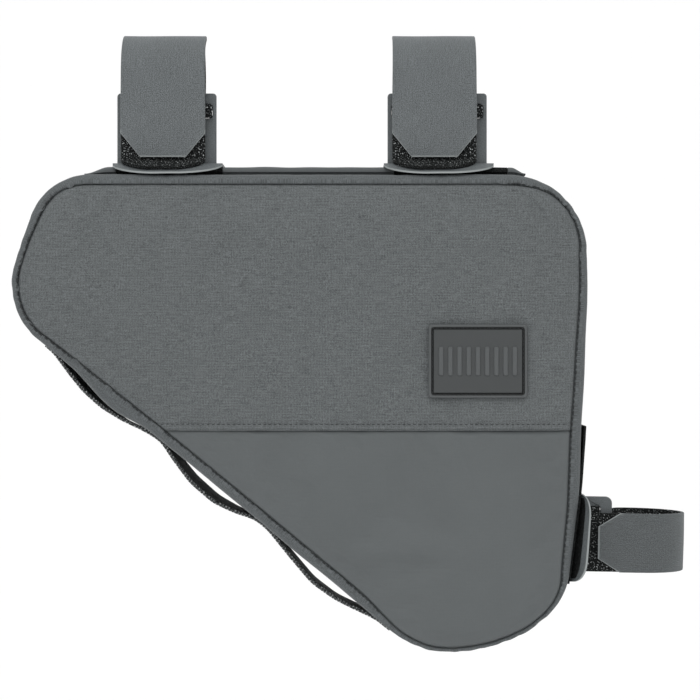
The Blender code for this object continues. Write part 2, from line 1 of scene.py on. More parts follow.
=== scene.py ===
import math
import bpy
import numpy as np
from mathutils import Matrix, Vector


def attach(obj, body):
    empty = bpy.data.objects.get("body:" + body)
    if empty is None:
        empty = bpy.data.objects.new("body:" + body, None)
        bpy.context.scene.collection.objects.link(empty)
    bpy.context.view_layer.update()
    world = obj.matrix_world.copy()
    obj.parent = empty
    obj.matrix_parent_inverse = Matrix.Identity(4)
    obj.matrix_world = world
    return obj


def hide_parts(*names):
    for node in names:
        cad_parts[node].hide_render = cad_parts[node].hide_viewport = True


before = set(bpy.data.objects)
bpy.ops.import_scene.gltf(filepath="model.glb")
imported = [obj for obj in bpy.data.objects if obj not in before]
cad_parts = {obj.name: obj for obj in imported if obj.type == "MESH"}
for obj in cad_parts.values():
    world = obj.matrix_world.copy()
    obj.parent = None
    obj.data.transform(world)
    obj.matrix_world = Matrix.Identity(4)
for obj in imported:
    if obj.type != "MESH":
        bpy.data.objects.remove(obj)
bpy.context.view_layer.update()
mm = 0.001
print("frame loaded:", len(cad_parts), "CAD nodes")


# mesh helpers

def gridFaces(rows, cols, wrapRows=False, wrapCols=False, start=0):
    # one quad for each cell of a grid of points that are counted row by row
    r = np.arange(rows if wrapRows else rows - 1)[:, None]
    c = np.arange(cols if wrapCols else cols - 1)[None, :]
    nextRow, nextCol = (r + 1) % rows, (c + 1) % cols
    quads = [r * cols + c, r * cols + nextCol, nextRow * cols + nextCol, nextRow * cols + c]
    return np.stack(np.broadcast_arrays(*quads), -1).reshape(-1, 4) + start


def tubeFaces(rows, cols, turned=False):
    # rings of points joined to a closed tube, with a cap at each end
    groups = [gridFaces(rows, cols, False, True),
              np.stack([np.arange(cols)[::-1], np.arange(cols) + (rows - 1) * cols])]
    return [group[:, ::-1] for group in groups] if turned else groups


def plate(front, back, turned=False):
    # two grids of points with a rim between them: all the points, and the faces of each part
    rows, cols = front.shape[:2]
    total = rows * cols
    faces = gridFaces(rows, cols)
    index = np.arange(total).reshape(rows, cols)
    ring = np.concatenate([index[0], index[1:, -1], index[-1, -2::-1], index[-2:0:-1, 0]])
    rim = np.stack([ring, ring + total, np.roll(ring, -1) + total, np.roll(ring, -1)], -1)
    groups = [faces, faces[:, ::-1] + total, rim]
    if turned:
        groups = [group[:, ::-1] for group in groups]
    return np.concatenate([front.reshape(-1, 3), back.reshape(-1, 3)]), groups


def makePiece(name, points, groups, finish, replaced=(), weave=None, values=None, sharp=None):
    # points in millimetres; weave is a flat (u, v) in millimetres for each point
    points = np.asarray(points, float).reshape(-1, 3) * mm
    polygons = [face for group in groups for face in np.asarray(group).tolist()]
    mesh = bpy.data.meshes.new(name)
    mesh.from_pydata(points.tolist(), [], polygons)
    mesh.polygons.foreach_set("use_smooth", np.ones(len(mesh.polygons), bool))
    if weave is not None:
        corner = np.empty(len(mesh.loops), np.int32)
        mesh.loops.foreach_get("vertex_index", corner)
        layer = mesh.uv_layers.new(name="weave")
        layer.data.foreach_set("uv", (np.asarray(weave).reshape(-1, 2)[corner] * mm).ravel())
    for key, field in (values or {}).items():
        layer = mesh.attributes.new(key, "FLOAT", "POINT")
        layer.data.foreach_set("value", np.asarray(field, np.float32).ravel())
    mesh.update()
    piece = bpy.data.objects.new(name, mesh)
    bpy.context.scene.collection.objects.link(piece)
    mesh.materials.append(finish)
    if sharp:
        mesh.set_sharp_from_angle(angle=math.radians(sharp))
    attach(piece, "root")
    if replaced:
        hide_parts(*replaced)
    return piece


def smoothStep(low, high, value):
    # 0 below low, 1 above high, and a soft S between them
    part = np.clip((value - low) / (high - low), 0, 1)
    return part * part * (3 - 2 * part)


def waves(place, lengths, seed):
    # sum of sines of a few wavelengths, each with its own phase, about -1 to 1
    dice = np.random.default_rng(seed)
    total = 0
    for length in lengths:
        total = total + np.sin(2 * math.pi * place / length + dice.uniform(0, 2 * math.pi))
    return total / math.sqrt(len(lengths) * 1.3)


def hills(x, y, size, count, seed):
    # smooth bumps over a plane: sines in many directions with wavelengths near one size
    dice = np.random.default_rng(seed)
    total = 0
    for _ in range(count):
        angle, length = dice.uniform(0, math.pi), size * dice.uniform(0.7, 1.5)
        along = x * math.cos(angle) + y * math.sin(angle)
        total = total + np.sin(2 * math.pi * along / length + dice.uniform(0, 2 * math.pi))
    return total / math.sqrt(count)


def cornerArc(before, corner, after, radius, count):
    # points of the circle that rounds one corner of a polygon
    towards = (before - corner) / np.linalg.norm(before - corner)
    away = (after - corner) / np.linalg.norm(after - corner)
    opening = math.acos(np.clip(towards @ away, -1, 1))
    if radius <= 0 or opening > math.radians(179.9):
        return corner[None, :]
    middle = towards + away
    centre = corner + middle / np.linalg.norm(middle) * radius / math.sin(opening / 2)
    first = corner + towards * radius / math.tan(opening / 2) - centre
    turn = math.pi - opening
    if first[0] * towards[1] - first[1] * towards[0] > 0:
        turn = -turn
    angle = turn * np.linspace(0, 1, count)
    return centre + np.stack([first[0] * np.cos(angle) - first[1] * np.sin(angle),
                              first[0] * np.sin(angle) + first[1] * np.cos(angle)], -1)


def roundedPath(rows, step, closed=False, count=24):
    # polygon of (x, y, radius, ...) rows with rounded corners, walked in even steps;
    # columns after the radius are carried along
    rows = np.asarray(rows, float)
    total = len(rows)
    places, extras = [], []
    for index, row in enumerate(rows):
        if not closed and index in (0, total - 1):
            arc = row[None, :2]
        else:
            arc = cornerArc(rows[index - 1, :2], row[:2], rows[(index + 1) % total, :2], row[2], count)
        places.append(arc)
        extras.append(np.repeat(row[None, 3:], len(arc), 0))
    places, extras = np.concatenate(places), np.concatenate(extras)
    if closed:
        places, extras = np.vstack([places, places[:1]]), np.vstack([extras, extras[:1]])
    reach = np.concatenate([[0], np.cumsum(np.linalg.norm(np.diff(places, axis=0), axis=1))])
    number = max(3, int(round(reach[-1] / step)))
    marks = np.linspace(0, reach[-1], number + 1)
    if closed:
        marks = marks[:-1]
    path = np.stack([np.interp(marks, reach, places[:, k]) for k in (0, 1)], -1)
    carried = [np.interp(marks, reach, extras[:, k]) for k in range(extras.shape[1])]
    if closed:
        tangent = np.roll(path, -1, 0) - np.roll(path, 1, 0)
    else:
        tangent = np.gradient(path, axis=0)
    tangent /= np.linalg.norm(tangent, axis=1)[:, None]
    return path, tangent, marks, carried


# materials: every pattern is in metres, on Object coordinates or on the piece's own weave map

def newMaterial(name, colour, roughness, sheen=0.0, specular=0.35):
    made = bpy.data.materials.new(name)
    made.use_nodes = True
    tree = made.node_tree
    shader = tree.nodes["Principled BSDF"]
    shader.inputs["Base Color"].default_value = (*colour, 1)
    shader.inputs["Roughness"].default_value = roughness
    shader.inputs["Specular IOR Level"].default_value = specular
    if sheen:
        shader.inputs["Sheen Weight"].default_value = sheen
        shader.inputs["Sheen Roughness"].default_value = 0.45
        shader.inputs["Sheen Tint"].default_value = (0.8, 0.85, 0.87, 1)
    return made, tree, shader


def node(tree, kind, inputs=None, **settings):
    made = tree.nodes.new(kind)
    for key, value in settings.items():
        setattr(made, key, value)
    for key, value in (inputs or {}).items():
        if isinstance(value, bpy.types.NodeSocket):
            tree.links.new(value, made.inputs[key])
        else:
            made.inputs[key].default_value = value
    return made


def maths(tree, operation, first, second=0.5, third=0.0):
    made = node(tree, "ShaderNodeMath", {0: first, 1: second, 2: third}, operation=operation)
    return made.outputs[0]


def place(tree, own):
    # the surface's own weave map, or the place on the object
    source = node(tree, "ShaderNodeTexCoord")
    return source.outputs["UV" if own else "Object"]


def axis(tree, vector, name):
    return node(tree, "ShaderNodeSeparateXYZ", {0: vector}).outputs[name]


def ridges(tree, value, pitch, offset=0.0):
    # rounded ridges across one axis: half a sine wave every pitch, 0 to 1
    turned = maths(tree, "MULTIPLY_ADD", value, 2 * math.pi / pitch, offset)
    return maths(tree, "MULTIPLY_ADD", maths(tree, "SINE", turned), 0.5, 0.5)


def noise(tree, vector, scale, detail=2.0, rough=0.5):
    made = node(tree, "ShaderNodeTexNoise", {"Vector": vector, "Scale": scale, "Detail": detail,
                                             "Roughness": rough})
    return made.outputs["Fac"]


def mixColour(tree, amount, first, second):
    made = node(tree, "ShaderNodeMix", {0: amount}, data_type="RGBA")
    for socket, value in ((6, first), (7, second)):
        if isinstance(value, bpy.types.NodeSocket):
            tree.links.new(value, made.inputs[socket])
        else:
            made.inputs[socket].default_value = (*value, 1)
    return made.outputs[2]


def shade(colour, amount):
    return tuple(channel * amount for channel in colour)


def stretch(tree, value, low, high, newLow=0.0, newHigh=1.0):
    made = node(tree, "ShaderNodeMapRange", {0: value, 1: low, 2: high, 3: newLow, 4: newHigh})
    return made.outputs[0]


def bump(tree, height, distance, strength=1.0, after=None):
    made = node(tree, "ShaderNodeBump", {"Height": height, "Distance": distance, "Strength": strength})
    if after is not None:
        tree.links.new(after, made.inputs["Normal"])
    return made.outputs["Normal"]
def dress(tree, shader, colour, normal):
    tree.links.new(colour, shader.inputs["Base Color"])
    tree.links.new(normal, shader.inputs["Normal"])

ripstop = {
    "colour": (0.0945, 0.103, 0.1055),
    "roughness": 0.72,
    "gridPitch": 1.265 * mm,      # the visible squares
    "threadPitch": 0.42 * mm,
    "gridContrast": 0.15,
    "mottle": 0.05,
    "speck": 0.36,
    "streak": 0.85,               # single threads that are lighter or darker
}


threads = {
    "wobbleScale": 90.0, "wobble": 0.5 * mm, "mottleScale": 34.0, "speckScale": 2500.0,
    "streakScales": ((150.0, 2000.0), (2000.0, 330.0)),      # across and down, for each family
    "streakMix": (1.15, 0.85), "secondPhase": 1.6,
}


def wovenMaterial(name, values, own=False, axes=("X", "Z")):
    # two families of ridges at right angles: fine threads, and a heavier thread each gridPitch
    made, tree, shader = newMaterial(name, values["colour"], values["roughness"],
                                     values.get("sheen", 0.12), values.get("specular", 0.3))
    vector = place(tree, own)
    wobble = noise(tree, vector, threads["wobbleScale"])
    u, v = (maths(tree, "MULTIPLY_ADD", wobble, move * threads["wobble"], axis(tree, vector, letter))
            for letter, move in zip(axes, (1, -1)))
    grid = maths(tree, "MAXIMUM", *(maths(tree, "POWER", ridges(tree, way, values["gridPitch"]), 2.0)
                                    for way in (u, v)))
    fine = maths(tree, "MULTIPLY", ridges(tree, u, values["threadPitch"]),
                 ridges(tree, v, values["threadPitch"], threads["secondPhase"]))
    mottled = noise(tree, vector, threads["mottleScale"], 4.0, 0.6)
    speck = noise(tree, vector, threads["speckScale"], 1.0)
    streaks = []
    for across, down in threads["streakScales"]:
        drawn = node(tree, "ShaderNodeCombineXYZ", {0: maths(tree, "MULTIPLY", u, across),
                                                    1: maths(tree, "MULTIPLY", v, down)})
        streaks.append(noise(tree, drawn.outputs[0], 1.0, 2.0, 0.6))
    streak = maths(tree, "ADD", maths(tree, "MULTIPLY_ADD", streaks[0], threads["streakMix"][0], -1.0),
                   maths(tree, "MULTIPLY", streaks[1], threads["streakMix"][1]))
    tone = maths(tree, "MULTIPLY_ADD", grid, values["gridContrast"], 1 - values["gridContrast"] / 2)
    for change, amount in ((stretch(tree, mottled, 0.3, 0.7, -1, 1), values["mottle"] / 2),
                           (stretch(tree, speck, 0.3, 0.7, -1, 1), values["speck"]),
                           (streak, values["streak"])):
        tone = maths(tree, "MULTIPLY_ADD", change, amount, tone)
    scaled = node(tree, "ShaderNodeVectorMath", {0: values["colour"], 3: tone}, operation="SCALE")
    colour = scaled.outputs[0]
    if "edge" in values:           # lighter rim where the cloth was cut or worn
        rim = node(tree, "ShaderNodeAttribute", attribute_name="rim").outputs["Fac"]
        colour = mixColour(tree, rim, colour, values["edge"])
    height = maths(tree, "MULTIPLY_ADD", grid, 0.7, fine)
    first = bump(tree, height, values.get("depth", 0.10) * mm, 0.7)
    dress(tree, shader, colour, bump(tree, mottled, 0.8 * mm, values.get("unevenness", 0.25), first))
    return made


coated = dict(ripstop, colour=(0.089, 0.0975, 0.100), roughness=0.60, gridPitch=0.62 * mm,
              threadPitch=0.31 * mm, gridContrast=0.03, mottle=0.06, depth=0.03, speck=0.02, streak=0.08)
gussetCloth = dict(ripstop, colour=(0.079, 0.087, 0.090), roughness=0.68, gridPitch=1.0 * mm,
                   threadPitch=0.36 * mm, gridContrast=0.14, depth=0.07, streak=0.30)
strapCloth = dict(ripstop, colour=(0.106, 0.116, 0.120), roughness=0.80, gridPitch=0.92 * mm,
                  threadPitch=0.46 * mm, gridContrast=0.08, mottle=0.12, speck=0.60, depth=0.10, streak=0.45,
                  sheen=0.20, edge=(0.25, 0.27, 0.27), unevenness=0.4)
moulded = dict(ripstop, colour=(0.098, 0.109, 0.113), roughness=0.52, gridPitch=0.8 * mm,
               threadPitch=0.40 * mm, gridContrast=0.02, mottle=0.12, depth=0.03, sheen=0.0,
               edge=(0.25, 0.27, 0.27), specular=0.40, streak=0.08)

ripstopFinish = wovenMaterial("ripstop", ripstop)
coatedFinish = wovenMaterial("coatedCloth", coated)
gussetFinish = wovenMaterial("gussetCloth", gussetCloth, own=True, axes=("X", "Y"))
strapFinish = wovenMaterial("strapCloth", strapCloth, own=True, axes=("X", "Y"))
mouldedFinish = wovenMaterial("footMoulding", moulded)
# painted shade: the ear is the same moulding as the flange, with a darker copy of its colour
earShadedFinish = wovenMaterial("earMouldingShaded", dict(moulded, colour=(0.084, 0.094, 0.098)))
# painted shade: the seat strap gets a darker copy of the strap cloth, about 0.72 of its colour, because it
# gets less light
seatStrapShadedFinish = wovenMaterial("seatStrapClothShaded", dict(strapCloth, colour=(0.077, 0.0845, 0.087)), own=True,
                                axes=("X", "Y"))


def hookMaterial(name, colour, fleck, own=True):
    # matted black nylon: crumbly bump, with pale flecks where a thread catches the light
    made, tree, shader = newMaterial(name, colour, 0.75, 0.0, 0.15)
    vector = place(tree, own)
    cells = node(tree, "ShaderNodeTexVoronoi", {"Vector": vector, "Scale": 900.0, "Randomness": 1.0})
    streak = noise(tree, vector, 1500.0, 2.0, 0.6)
    base = mixColour(tree, stretch(tree, streak, 0.60, 0.68), colour, fleck)
    dress(tree, shader, base, bump(tree, cells.outputs["Distance"], 0.6 * mm, 0.9))
    return made


hookFinish = hookMaterial("hookCloth", (0.004, 0.005, 0.005), (0.50, 0.53, 0.53))
loopFinish = hookMaterial("loopCloth", (0.008, 0.009, 0.009), (0.04, 0.045, 0.045), own=False)

webbingCloth = {"colour": (0.014, 0.017, 0.018), "fleck": (0.62, 0.64, 0.64), "rib": 1.5 * mm}


def webbingMaterial(values):
    # slanted ribs across the webbing, with pale threads along its two edges; the rib tops get painted light
    # and the hollows painted shade
    made, tree, shader = newMaterial("webbingCloth", values["colour"], 0.6, 0.0, 0.35)
    vector = place(tree, True)
    u, v = axis(tree, vector, "X"), axis(tree, vector, "Y")
    slanted = maths(tree, "MULTIPLY_ADD", v, 0.6, u)
    rib = ridges(tree, slanted, values["rib"])
    rim = node(tree, "ShaderNodeAttribute", attribute_name="rim").outputs["Fac"]
    speck = stretch(tree, noise(tree, vector, 900.0, 2.0, 0.7), 0.46, 0.54)
    light = maths(tree, "MULTIPLY", maths(tree, "MULTIPLY", rim, speck), rib)
    # painted light and shade: a darker copy of the colour in the rib hollows, a lighter copy on the rib tops
    base = mixColour(tree, rib, shade(values["colour"], 0.7), shade(values["colour"], 1.9))
    dress(tree, shader, mixColour(tree, light, base, values["fleck"]), bump(tree, rib, 0.35 * mm, 0.9))
    return made


webbingFinish = webbingMaterial(webbingCloth)


def plainMaterial(name, colour, roughness, grain, depth):
    # one colour with fine moulding grain, for rubber, thread and zip plastic
    made, tree, shader = newMaterial(name, colour, roughness, 0.0, 0.4)
    vector = place(tree, False)
    fine = noise(tree, vector, grain, 3.0, 0.6)
    dress(tree, shader, mixColour(tree, fine, shade(colour, 0.85), shade(colour, 1.15)),
          bump(tree, fine, depth * mm, 0.6))
    return made


threadFinish = plainMaterial("seamThread", (0.016, 0.018, 0.019), 0.6, 2500.0, 0.05)
zipFinish = plainMaterial("zipCoil", (0.012, 0.013, 0.014), 0.35, 1500.0, 0.03)
metalFinish = plainMaterial("zipSlider", (0.05, 0.055, 0.06), 0.35, 900.0, 0.03)


# bag body: outline of the gusset's widest line, seen from the front

bag = {
    "halfDepth": 27.0,
    "step": 1.25,                  # spacing of the points round the outline
    "lip": 1.0,                    # flat edge of the gusset beside its seam
    "shoulder": 1.15,
    "wall": 2.0,
    "panelWall": 3.0,
    "frontDome": 4.5,
    "backDome": 2.5,
    "domeReach": 30.0,
    "crossSeam": -162.8,
    "zipTop": -71.9,
    "zipLow": -83.9,
}

# x, z, radius, strength of the puckers at each corner
outlineCorners = [
    (-113.64, -47.90, 27.12, 1.00),
    (128.81, -47.90, 35.50, 0.90),
    (129.79, -104.28, 225.96, 0.35),
    (127.31, -162.82, 225.96, 0.25),
    (126.23, -191.87, 180.77, 0.25),
    (120.70, -233.30, 25.00, 0.30),
    (115.10, -242.40, 40.00, 0.40),
    (105.20, -251.80, 44.00, 0.45),
    (87.35, -259.90, 66.00, 0.45),
    (55.20, -263.90, 42.00, 0.45),
    (-134.04, -107.73, 32.50, 1.00),
]
# way round the outline from its top left corner, and how far inside it the seam runs
seamInsets = np.array([
    (0, 4.25), (20, 4.0), (30, 4.5), (60, 4.4), (215, 4.4), (225, 4.6), (232, 4.2), (240, 2.8), (255, 2.2),
    (270, 2.75), (280, 3.25), (295, 3.5), (320, 4.3), (340, 4.5), (360, 5.2), (380, 5.2), (400, 4.3),
    (420, 3.6), (432, 2.2), (440, 1.5), (500, 1.5), (510, 1.9), (525, 2.75), (535, 4.2), (545, 4.6),
    (610, 4.7), (660, 4.5), (715, 3.4), (725, 2.8), (775, 3.0), (789, 4.2)])

outline, outlineTangent, outlineReach, (puckerStrength,) = roundedPath(
    outlineCorners, bag["step"], closed=True, count=40)
seamInset = np.interp(outlineReach, seamInsets[:, 0], seamInsets[:, 1])
outlineNormal = np.stack([-outlineTangent[:, 1], outlineTangent[:, 0]], -1)
perimeter = outlineReach[-1] + bag["step"]


def around(values, width):
    # running average round the closed outline
    window = int(width / bag["step"]) | 1
    ends = window // 2
    padded = np.concatenate([values[-ends:], values, values[:ends]])
    return np.convolve(padded, np.ones(window) / window, "valid")


puckerStrength = around(puckerStrength, 30)
seamInset = around(seamInset, 12)
seamLine = outline - outlineNormal * seamInset[:, None]


def puckerWave(slant):
    # gathers round the outline: folds 5 to 15 mm long, sharp in the valleys
    place = outlineReach[:, None] + slant
    wave = waves(place, (perimeter / 52, perimeter / 83, perimeter / 121, perimeter / 37), 3)
    return wave - 0.35 * np.abs(wave)


sheet = {
    "scale": 10,                   # the cloth is simulated ten times as large
    "grid": (44, 60), "frames": 18, "pinned": 2.5, "pressure": 0.4, "growth": 0.012, "cap": 0.9,
    "settings": {"quality": 6, "mass": 0.3, "tension_stiffness": 15.0, "compression_stiffness": 15.0,
                 "shear_stiffness": 7.5, "bending_stiffness": 0.8, "air_damping": 3.0},
}


def simulateSheet(name, rows, pinned, pressure):
    # Blender's Cloth on an open grid: pinned points stay, pressure pushes outwards, and cloth
    # that is longer than its space buckles; gives each point's capped move
    mesh = bpy.data.meshes.new(name)
    points = rows.reshape(-1, 3) * mm * sheet["scale"]
    mesh.from_pydata(points.tolist(), [], gridFaces(*rows.shape[:2]).tolist())
    cloth = bpy.data.objects.new(name, mesh)
    bpy.context.scene.collection.objects.link(cloth)
    group = cloth.vertex_groups.new(name="pin")
    group.add(np.flatnonzero(pinned.ravel()).tolist(), 1.0, "REPLACE")
    modifier = cloth.modifiers.new("cloth", "CLOTH")
    settings = modifier.settings
    for key, value in sheet["settings"].items():
        setattr(settings, key, value)
    settings.vertex_group_mass = "pin"
    settings.shrink_min = -sheet["growth"]
    settings.use_pressure = pressure > 0
    settings.uniform_pressure_force = pressure
    settings.effector_weights.gravity = 0.0
    modifier.collision_settings.use_collision = False
    modifier.point_cache.frame_end = sheet["frames"]
    scene = bpy.context.scene
    for number in range(1, sheet["frames"] + 1):
        scene.frame_set(number)
    result = cloth.evaluated_get(bpy.context.evaluated_depsgraph_get()).to_mesh()
    moved = np.empty(len(result.vertices) * 3)
    result.vertices.foreach_get("co", moved)
    bpy.data.objects.remove(cloth)
    scene.frame_set(1)
    shift = moved.reshape(rows.shape) / (mm * sheet["scale"]) - rows
    size = np.linalg.norm(shift, axis=-1, keepdims=True)
    return shift * np.minimum(1, sheet["cap"] / np.maximum(size, 1e-9))


def resample(field, rows, cols):
    # bilinear stretch of a coarse grid of values to a finer one
    down = np.linspace(0, field.shape[0] - 1, rows)
    across = np.linspace(0, field.shape[1] - 1, cols)
    top = np.minimum(down.astype(int), field.shape[0] - 2)
    left = np.minimum(across.astype(int), field.shape[1] - 2)
    a, b = (down - top)[:, None], (across - left)[None, :]
    upper, lower = (field[row][:, left] * (1 - b) + field[row][:, left + 1] * b for row in (top, top + 1))
    return upper * (1 - a) + lower * a


# webbing along the sloping side; the gusset swells a little between its first stitches

webbing = {
    "width": 20.0, "thickness": 1.6, "start": (-116.7, -122.0), "end": (46.2, -256.5),
    "swell": 3.2, "swellSpan": (6, 66), "slopeStart": 400,     # along the webbing; along the outline
    # along, lift of the front edge, lift of the back edge
    "lifts": [(2.6, 1.1, 1.1), (7.5, 1.1, 1.1), (18.5, 4.0, 2.6), (29.0, 6.2, 3.6), (40.0, 6.6, 5.6),
              (51.0, 5.0, 6.2), (61.5, 2.3, 3.5), (68.0, 1.3, 1.3), (71.5, 1.2, 1.1), (79.0, 3.7, 2.3),
              (93.0, 7.2, 5.2), (107.0, 7.5, 5.8), (118.0, 4.6, 3.9), (126.5, 1.1, 1.1), (134.0, 1.1, 1.1),
              (150.0, 4.4, 4.1), (165.0, 7.1, 6.8), (178.0, 6.1, 6.3), (186.0, 4.2, 4.3), (198.0, 1.2, 1.1),
              (206.0, 1.1, 1.1)],
}
webbingWay = np.subtract(webbing["end"], webbing["start"])
webbingWay /= np.linalg.norm(webbingWay)


gussetLook = {
    "dive": [(0.10, 1.9), (0.02, 1.0), (-0.20, 0.35), (-0.55, 0.05)],      # inside the seam, and below it
    "shallowTop": 0.55, "depthVaries": 0.25, "bulge": 0.5,
    "puckerHeight": 0.85, "puckerFades": 1.7, "uneven": 0.16,
}


def gussetShell():
    # a section carried round the outline: seam lip, round shoulder, broad side and the same
    # again at the back, then the inner wall; puckers move its outer half in and out
    count = len(outline)
    height = (seamInset - bag["lip"])[:, None]
    turn = np.radians(np.linspace(0, 90, 12))[None, :]
    dive = np.array(gussetLook["dive"])
    diveIn = seamInset[:, None] + dive[None, :, 0]
    shoulderIn = height * (1 - np.sin(turn))
    shoulderDown = height * bag["shoulder"] * (1 - np.cos(turn))
    # the groove is shallow along the top, and deeper or shallower every few stitches
    top = smoothStep(20, 34, outlineReach) * (1 - smoothStep(205, 222, outlineReach))
    varied = 1 + gussetLook["depthVaries"] * waves(outlineReach, (perimeter / 90, perimeter / 171), 8)
    depthShare = (1 - gussetLook["shallowTop"] * top) * varied
    diveDown = dive[None, :, 1] * depthShare[:, None]
    frontIn = np.hstack([diveIn, shoulderIn])
    frontDown = np.hstack([diveDown, shoulderDown])
    broad = np.linspace(0, 1, 26)[None, 1:-1]
    start = -bag["halfDepth"] + frontDown[:, -1:]
    broadDepth = start * (1 - broad) - start * broad
    broadIn = -gussetLook["bulge"] * np.sin(math.pi * broad) * np.ones((count, 1))
    inward = np.hstack([frontIn, broadIn, frontIn[:, ::-1]])
    depth = np.hstack([-bag["halfDepth"] + frontDown, broadDepth, bag["halfDepth"] - frontDown[:, ::-1]])
    # distance across from the nearer seam, along the section
    steps = np.hypot(np.diff(inward), np.diff(depth))
    across = np.hstack([np.zeros((count, 1)), np.cumsum(steps, 1)])
    near = np.minimum(across, across[:, -1:] - across)
    frontSide = depth < 0
    slant = np.where(frontSide, near * 0.35, 200 - near * 0.3)
    fade = smoothStep(0.8, 2.4, near) * np.exp(-np.maximum(near - 2.2, 0) / gussetLook["puckerFades"])
    move = puckerWave(slant) * fade * puckerStrength[:, None] * gussetLook["puckerHeight"]
    uneven = hills(outlineReach[:, None] + 0 * depth, depth * 1.6, 34, 9, 5) * gussetLook["uneven"]
    move += uneven * smoothStep(3, 9, near)
    along = (outline - np.array(webbing["start"])) @ webbingWay
    low, high = webbing["swellSpan"]
    beside = (along > low) & (along < high) & (outlineReach > webbing["slopeStart"])
    part = np.clip((along - low) / (high - low), 0, 1)
    swollen = np.where(beside, np.sin(math.pi * part ** 1.5) ** 2, 0)
    return inward - move - webbing["swell"] * swollen[:, None] * smoothStep(2.5, 9, near), depth


gussetIn, gussetDepth = gussetShell()
print("gusset worked out:", gussetIn.shape)


innerWall = {"rows": 9, "edgeIn": 4.4, "edgeDepth": 2.4, "gap": 0.2}


def buildGusset():
    count = len(outline)
    innerDepth = np.linspace(1, -1, innerWall["rows"]) * (bag["halfDepth"] - innerWall["edgeDepth"])
    innerIn = np.full(innerWall["rows"], bag["wall"] + innerWall["gap"])
    innerIn[[0, -1]] = innerWall["edgeIn"]
    inward = np.hstack([gussetIn, np.repeat(innerIn[None], count, 0)])
    depth = np.hstack([gussetDepth, np.repeat(innerDepth[None], count, 0)])
    flat = outline[:, None, :] - outlineNormal[:, None, :] * inward[..., None]
    points = np.stack([flat[..., 0], depth, flat[..., 1]], -1)
    weave = np.stack(np.broadcast_arrays(outlineReach[:, None], depth), -1)
    faces = gridFaces(*depth.shape, True, True)
    piece = makePiece("gussetPadded", points, [faces], gussetFinish, ("gusset",), weave)


buildGusset()


# panels; the label's values stand here because the panel lies flat behind it

labelPlate = {
    "grid": (198, 265), "centre": (80.1, -131.7), "size": (44.0, 32.8), "back": -31.8, "thickness": 1.6,
    "corner": 1.2, "rim": 1.6, "relief": 0.6, "edgeDrop": 0.5, "least": 0.2,
    "ribs": 9, "ribPitch": 4.1, "ribWidth": 2.3, "ribHeight": 13.0, "ribCorner": 0.75,
    "sewnIn": 1.7, "sewnCorner": 0.8, "sewnDepth": 0.70,
    "stitch": (1.35, 0.42), "stitchPitch": 1.9, "stitchSunk": 0.35,
}


def roundedBox(u, v, width, height, radius):
    # signed distance to a rounded rectangle: negative inside
    dx = np.abs(u) - width / 2 + radius
    dy = np.abs(v) - height / 2 + radius
    return np.hypot(np.maximum(dx, 0), np.maximum(dy, 0)) + np.minimum(np.maximum(dx, dy), 0) - radius


def seamDistance(x, z):
    # shortest distance from each point to the seam line, in whole arrays
    a, b = seamLine, np.roll(seamLine, -1, 0)
    side = b - a
    size = (side ** 2).sum(1)
    best = np.full(x.size, 1e9)
    flatX, flatZ = x.ravel(), z.ravel()
    for first in range(0, len(a), 90):          # ninety seam pieces at a time keep the arrays small
        p, q, n = a[first:first + 90], side[first:first + 90], size[first:first + 90]
        dx, dz = flatX[:, None] - p[None, :, 0], flatZ[:, None] - p[None, :, 1]
        part = np.clip((dx * q[None, :, 0] + dz * q[None, :, 1]) / n, 0, 1)
        gap = (dx - part * q[None, :, 0]) ** 2 + (dz - part * q[None, :, 1]) ** 2
        best = np.minimum(best, gap.min(1))
    return np.sqrt(best).reshape(x.shape)


def spanAt(levels):
    # leftmost and rightmost x of the seam line at each height
    x, z = np.append(seamLine[:, 0], seamLine[0, 0]), np.append(seamLine[:, 1], seamLine[0, 1])
    z0, z1 = z[:-1][None, :], z[1:][None, :]
    h = levels[:, None]
    crosses = ((z0 <= h) & (z1 > h)) | ((z1 <= h) & (z0 > h))
    part = np.where(crosses, (h - z0) / np.where(z1 == z0, 1, z1 - z0), 0)
    at = x[:-1][None, :] + part * (x[1:] - x[:-1])[None, :]
    return np.where(crosses, at, 1e9).min(1), np.where(crosses, at, -1e9).max(1)


def panelPlane(low, high, rows, cols):
    # grid of (x, z) over the seam's inside between two heights
    levels = low + (high - low) * np.linspace(0, 1, rows)
    left, right = spanAt(np.clip(levels, *insideZ))
    s = np.linspace(0, 1, cols)
    s = 0.6 * s + 0.4 * (0.5 - 0.5 * np.cos(math.pi * s))     # finer near both ends
    x = left[:, None] + (right - left)[:, None] * s[None, :]
    return x, np.repeat(levels[:, None], cols, 1)


insideZ = seamLine[:, 1].min() + 0.02, seamLine[:, 1].max() - 0.02


def domeHeight(distance, dome):
    part = np.clip(distance / bag["domeReach"], 0, 1)
    return dome * (1 - (1 - part) ** 2)


def panelShell(name, x, z, height, side, finish, replaced):
    # outer face, inner face a wall behind it, and the rim between them
    faces = (np.stack([x, side * level, z], -1) for level in (height, height - bag["panelWall"]))
    piece = makePiece(name, *plate(*faces, side > 0), finish, replaced)


def panelPuff(low, high, side, dome, seed):
    # the panel as a coarse sheet, pinned at its seams and blown out from inside; gives how far
    # each place moved outwards, and only this move in depth is used
    x, z = panelPlane(low, high, *sheet["grid"])
    height, distance = panelHeight(x, z, dome, seed)
    pinned = distance < sheet["pinned"]
    pinned[0], pinned[-1] = True, True
    rows = np.stack([x, side * height, z], -1)
    return simulateSheet("panelSheet", rows, pinned, side * sheet["pressure"])[..., 1] * side


panelLook = {"edgeDive": 1.5, "hills": [(60, 0.14), (17, 0.035), (9, 0.10)]}      # hills: size, height


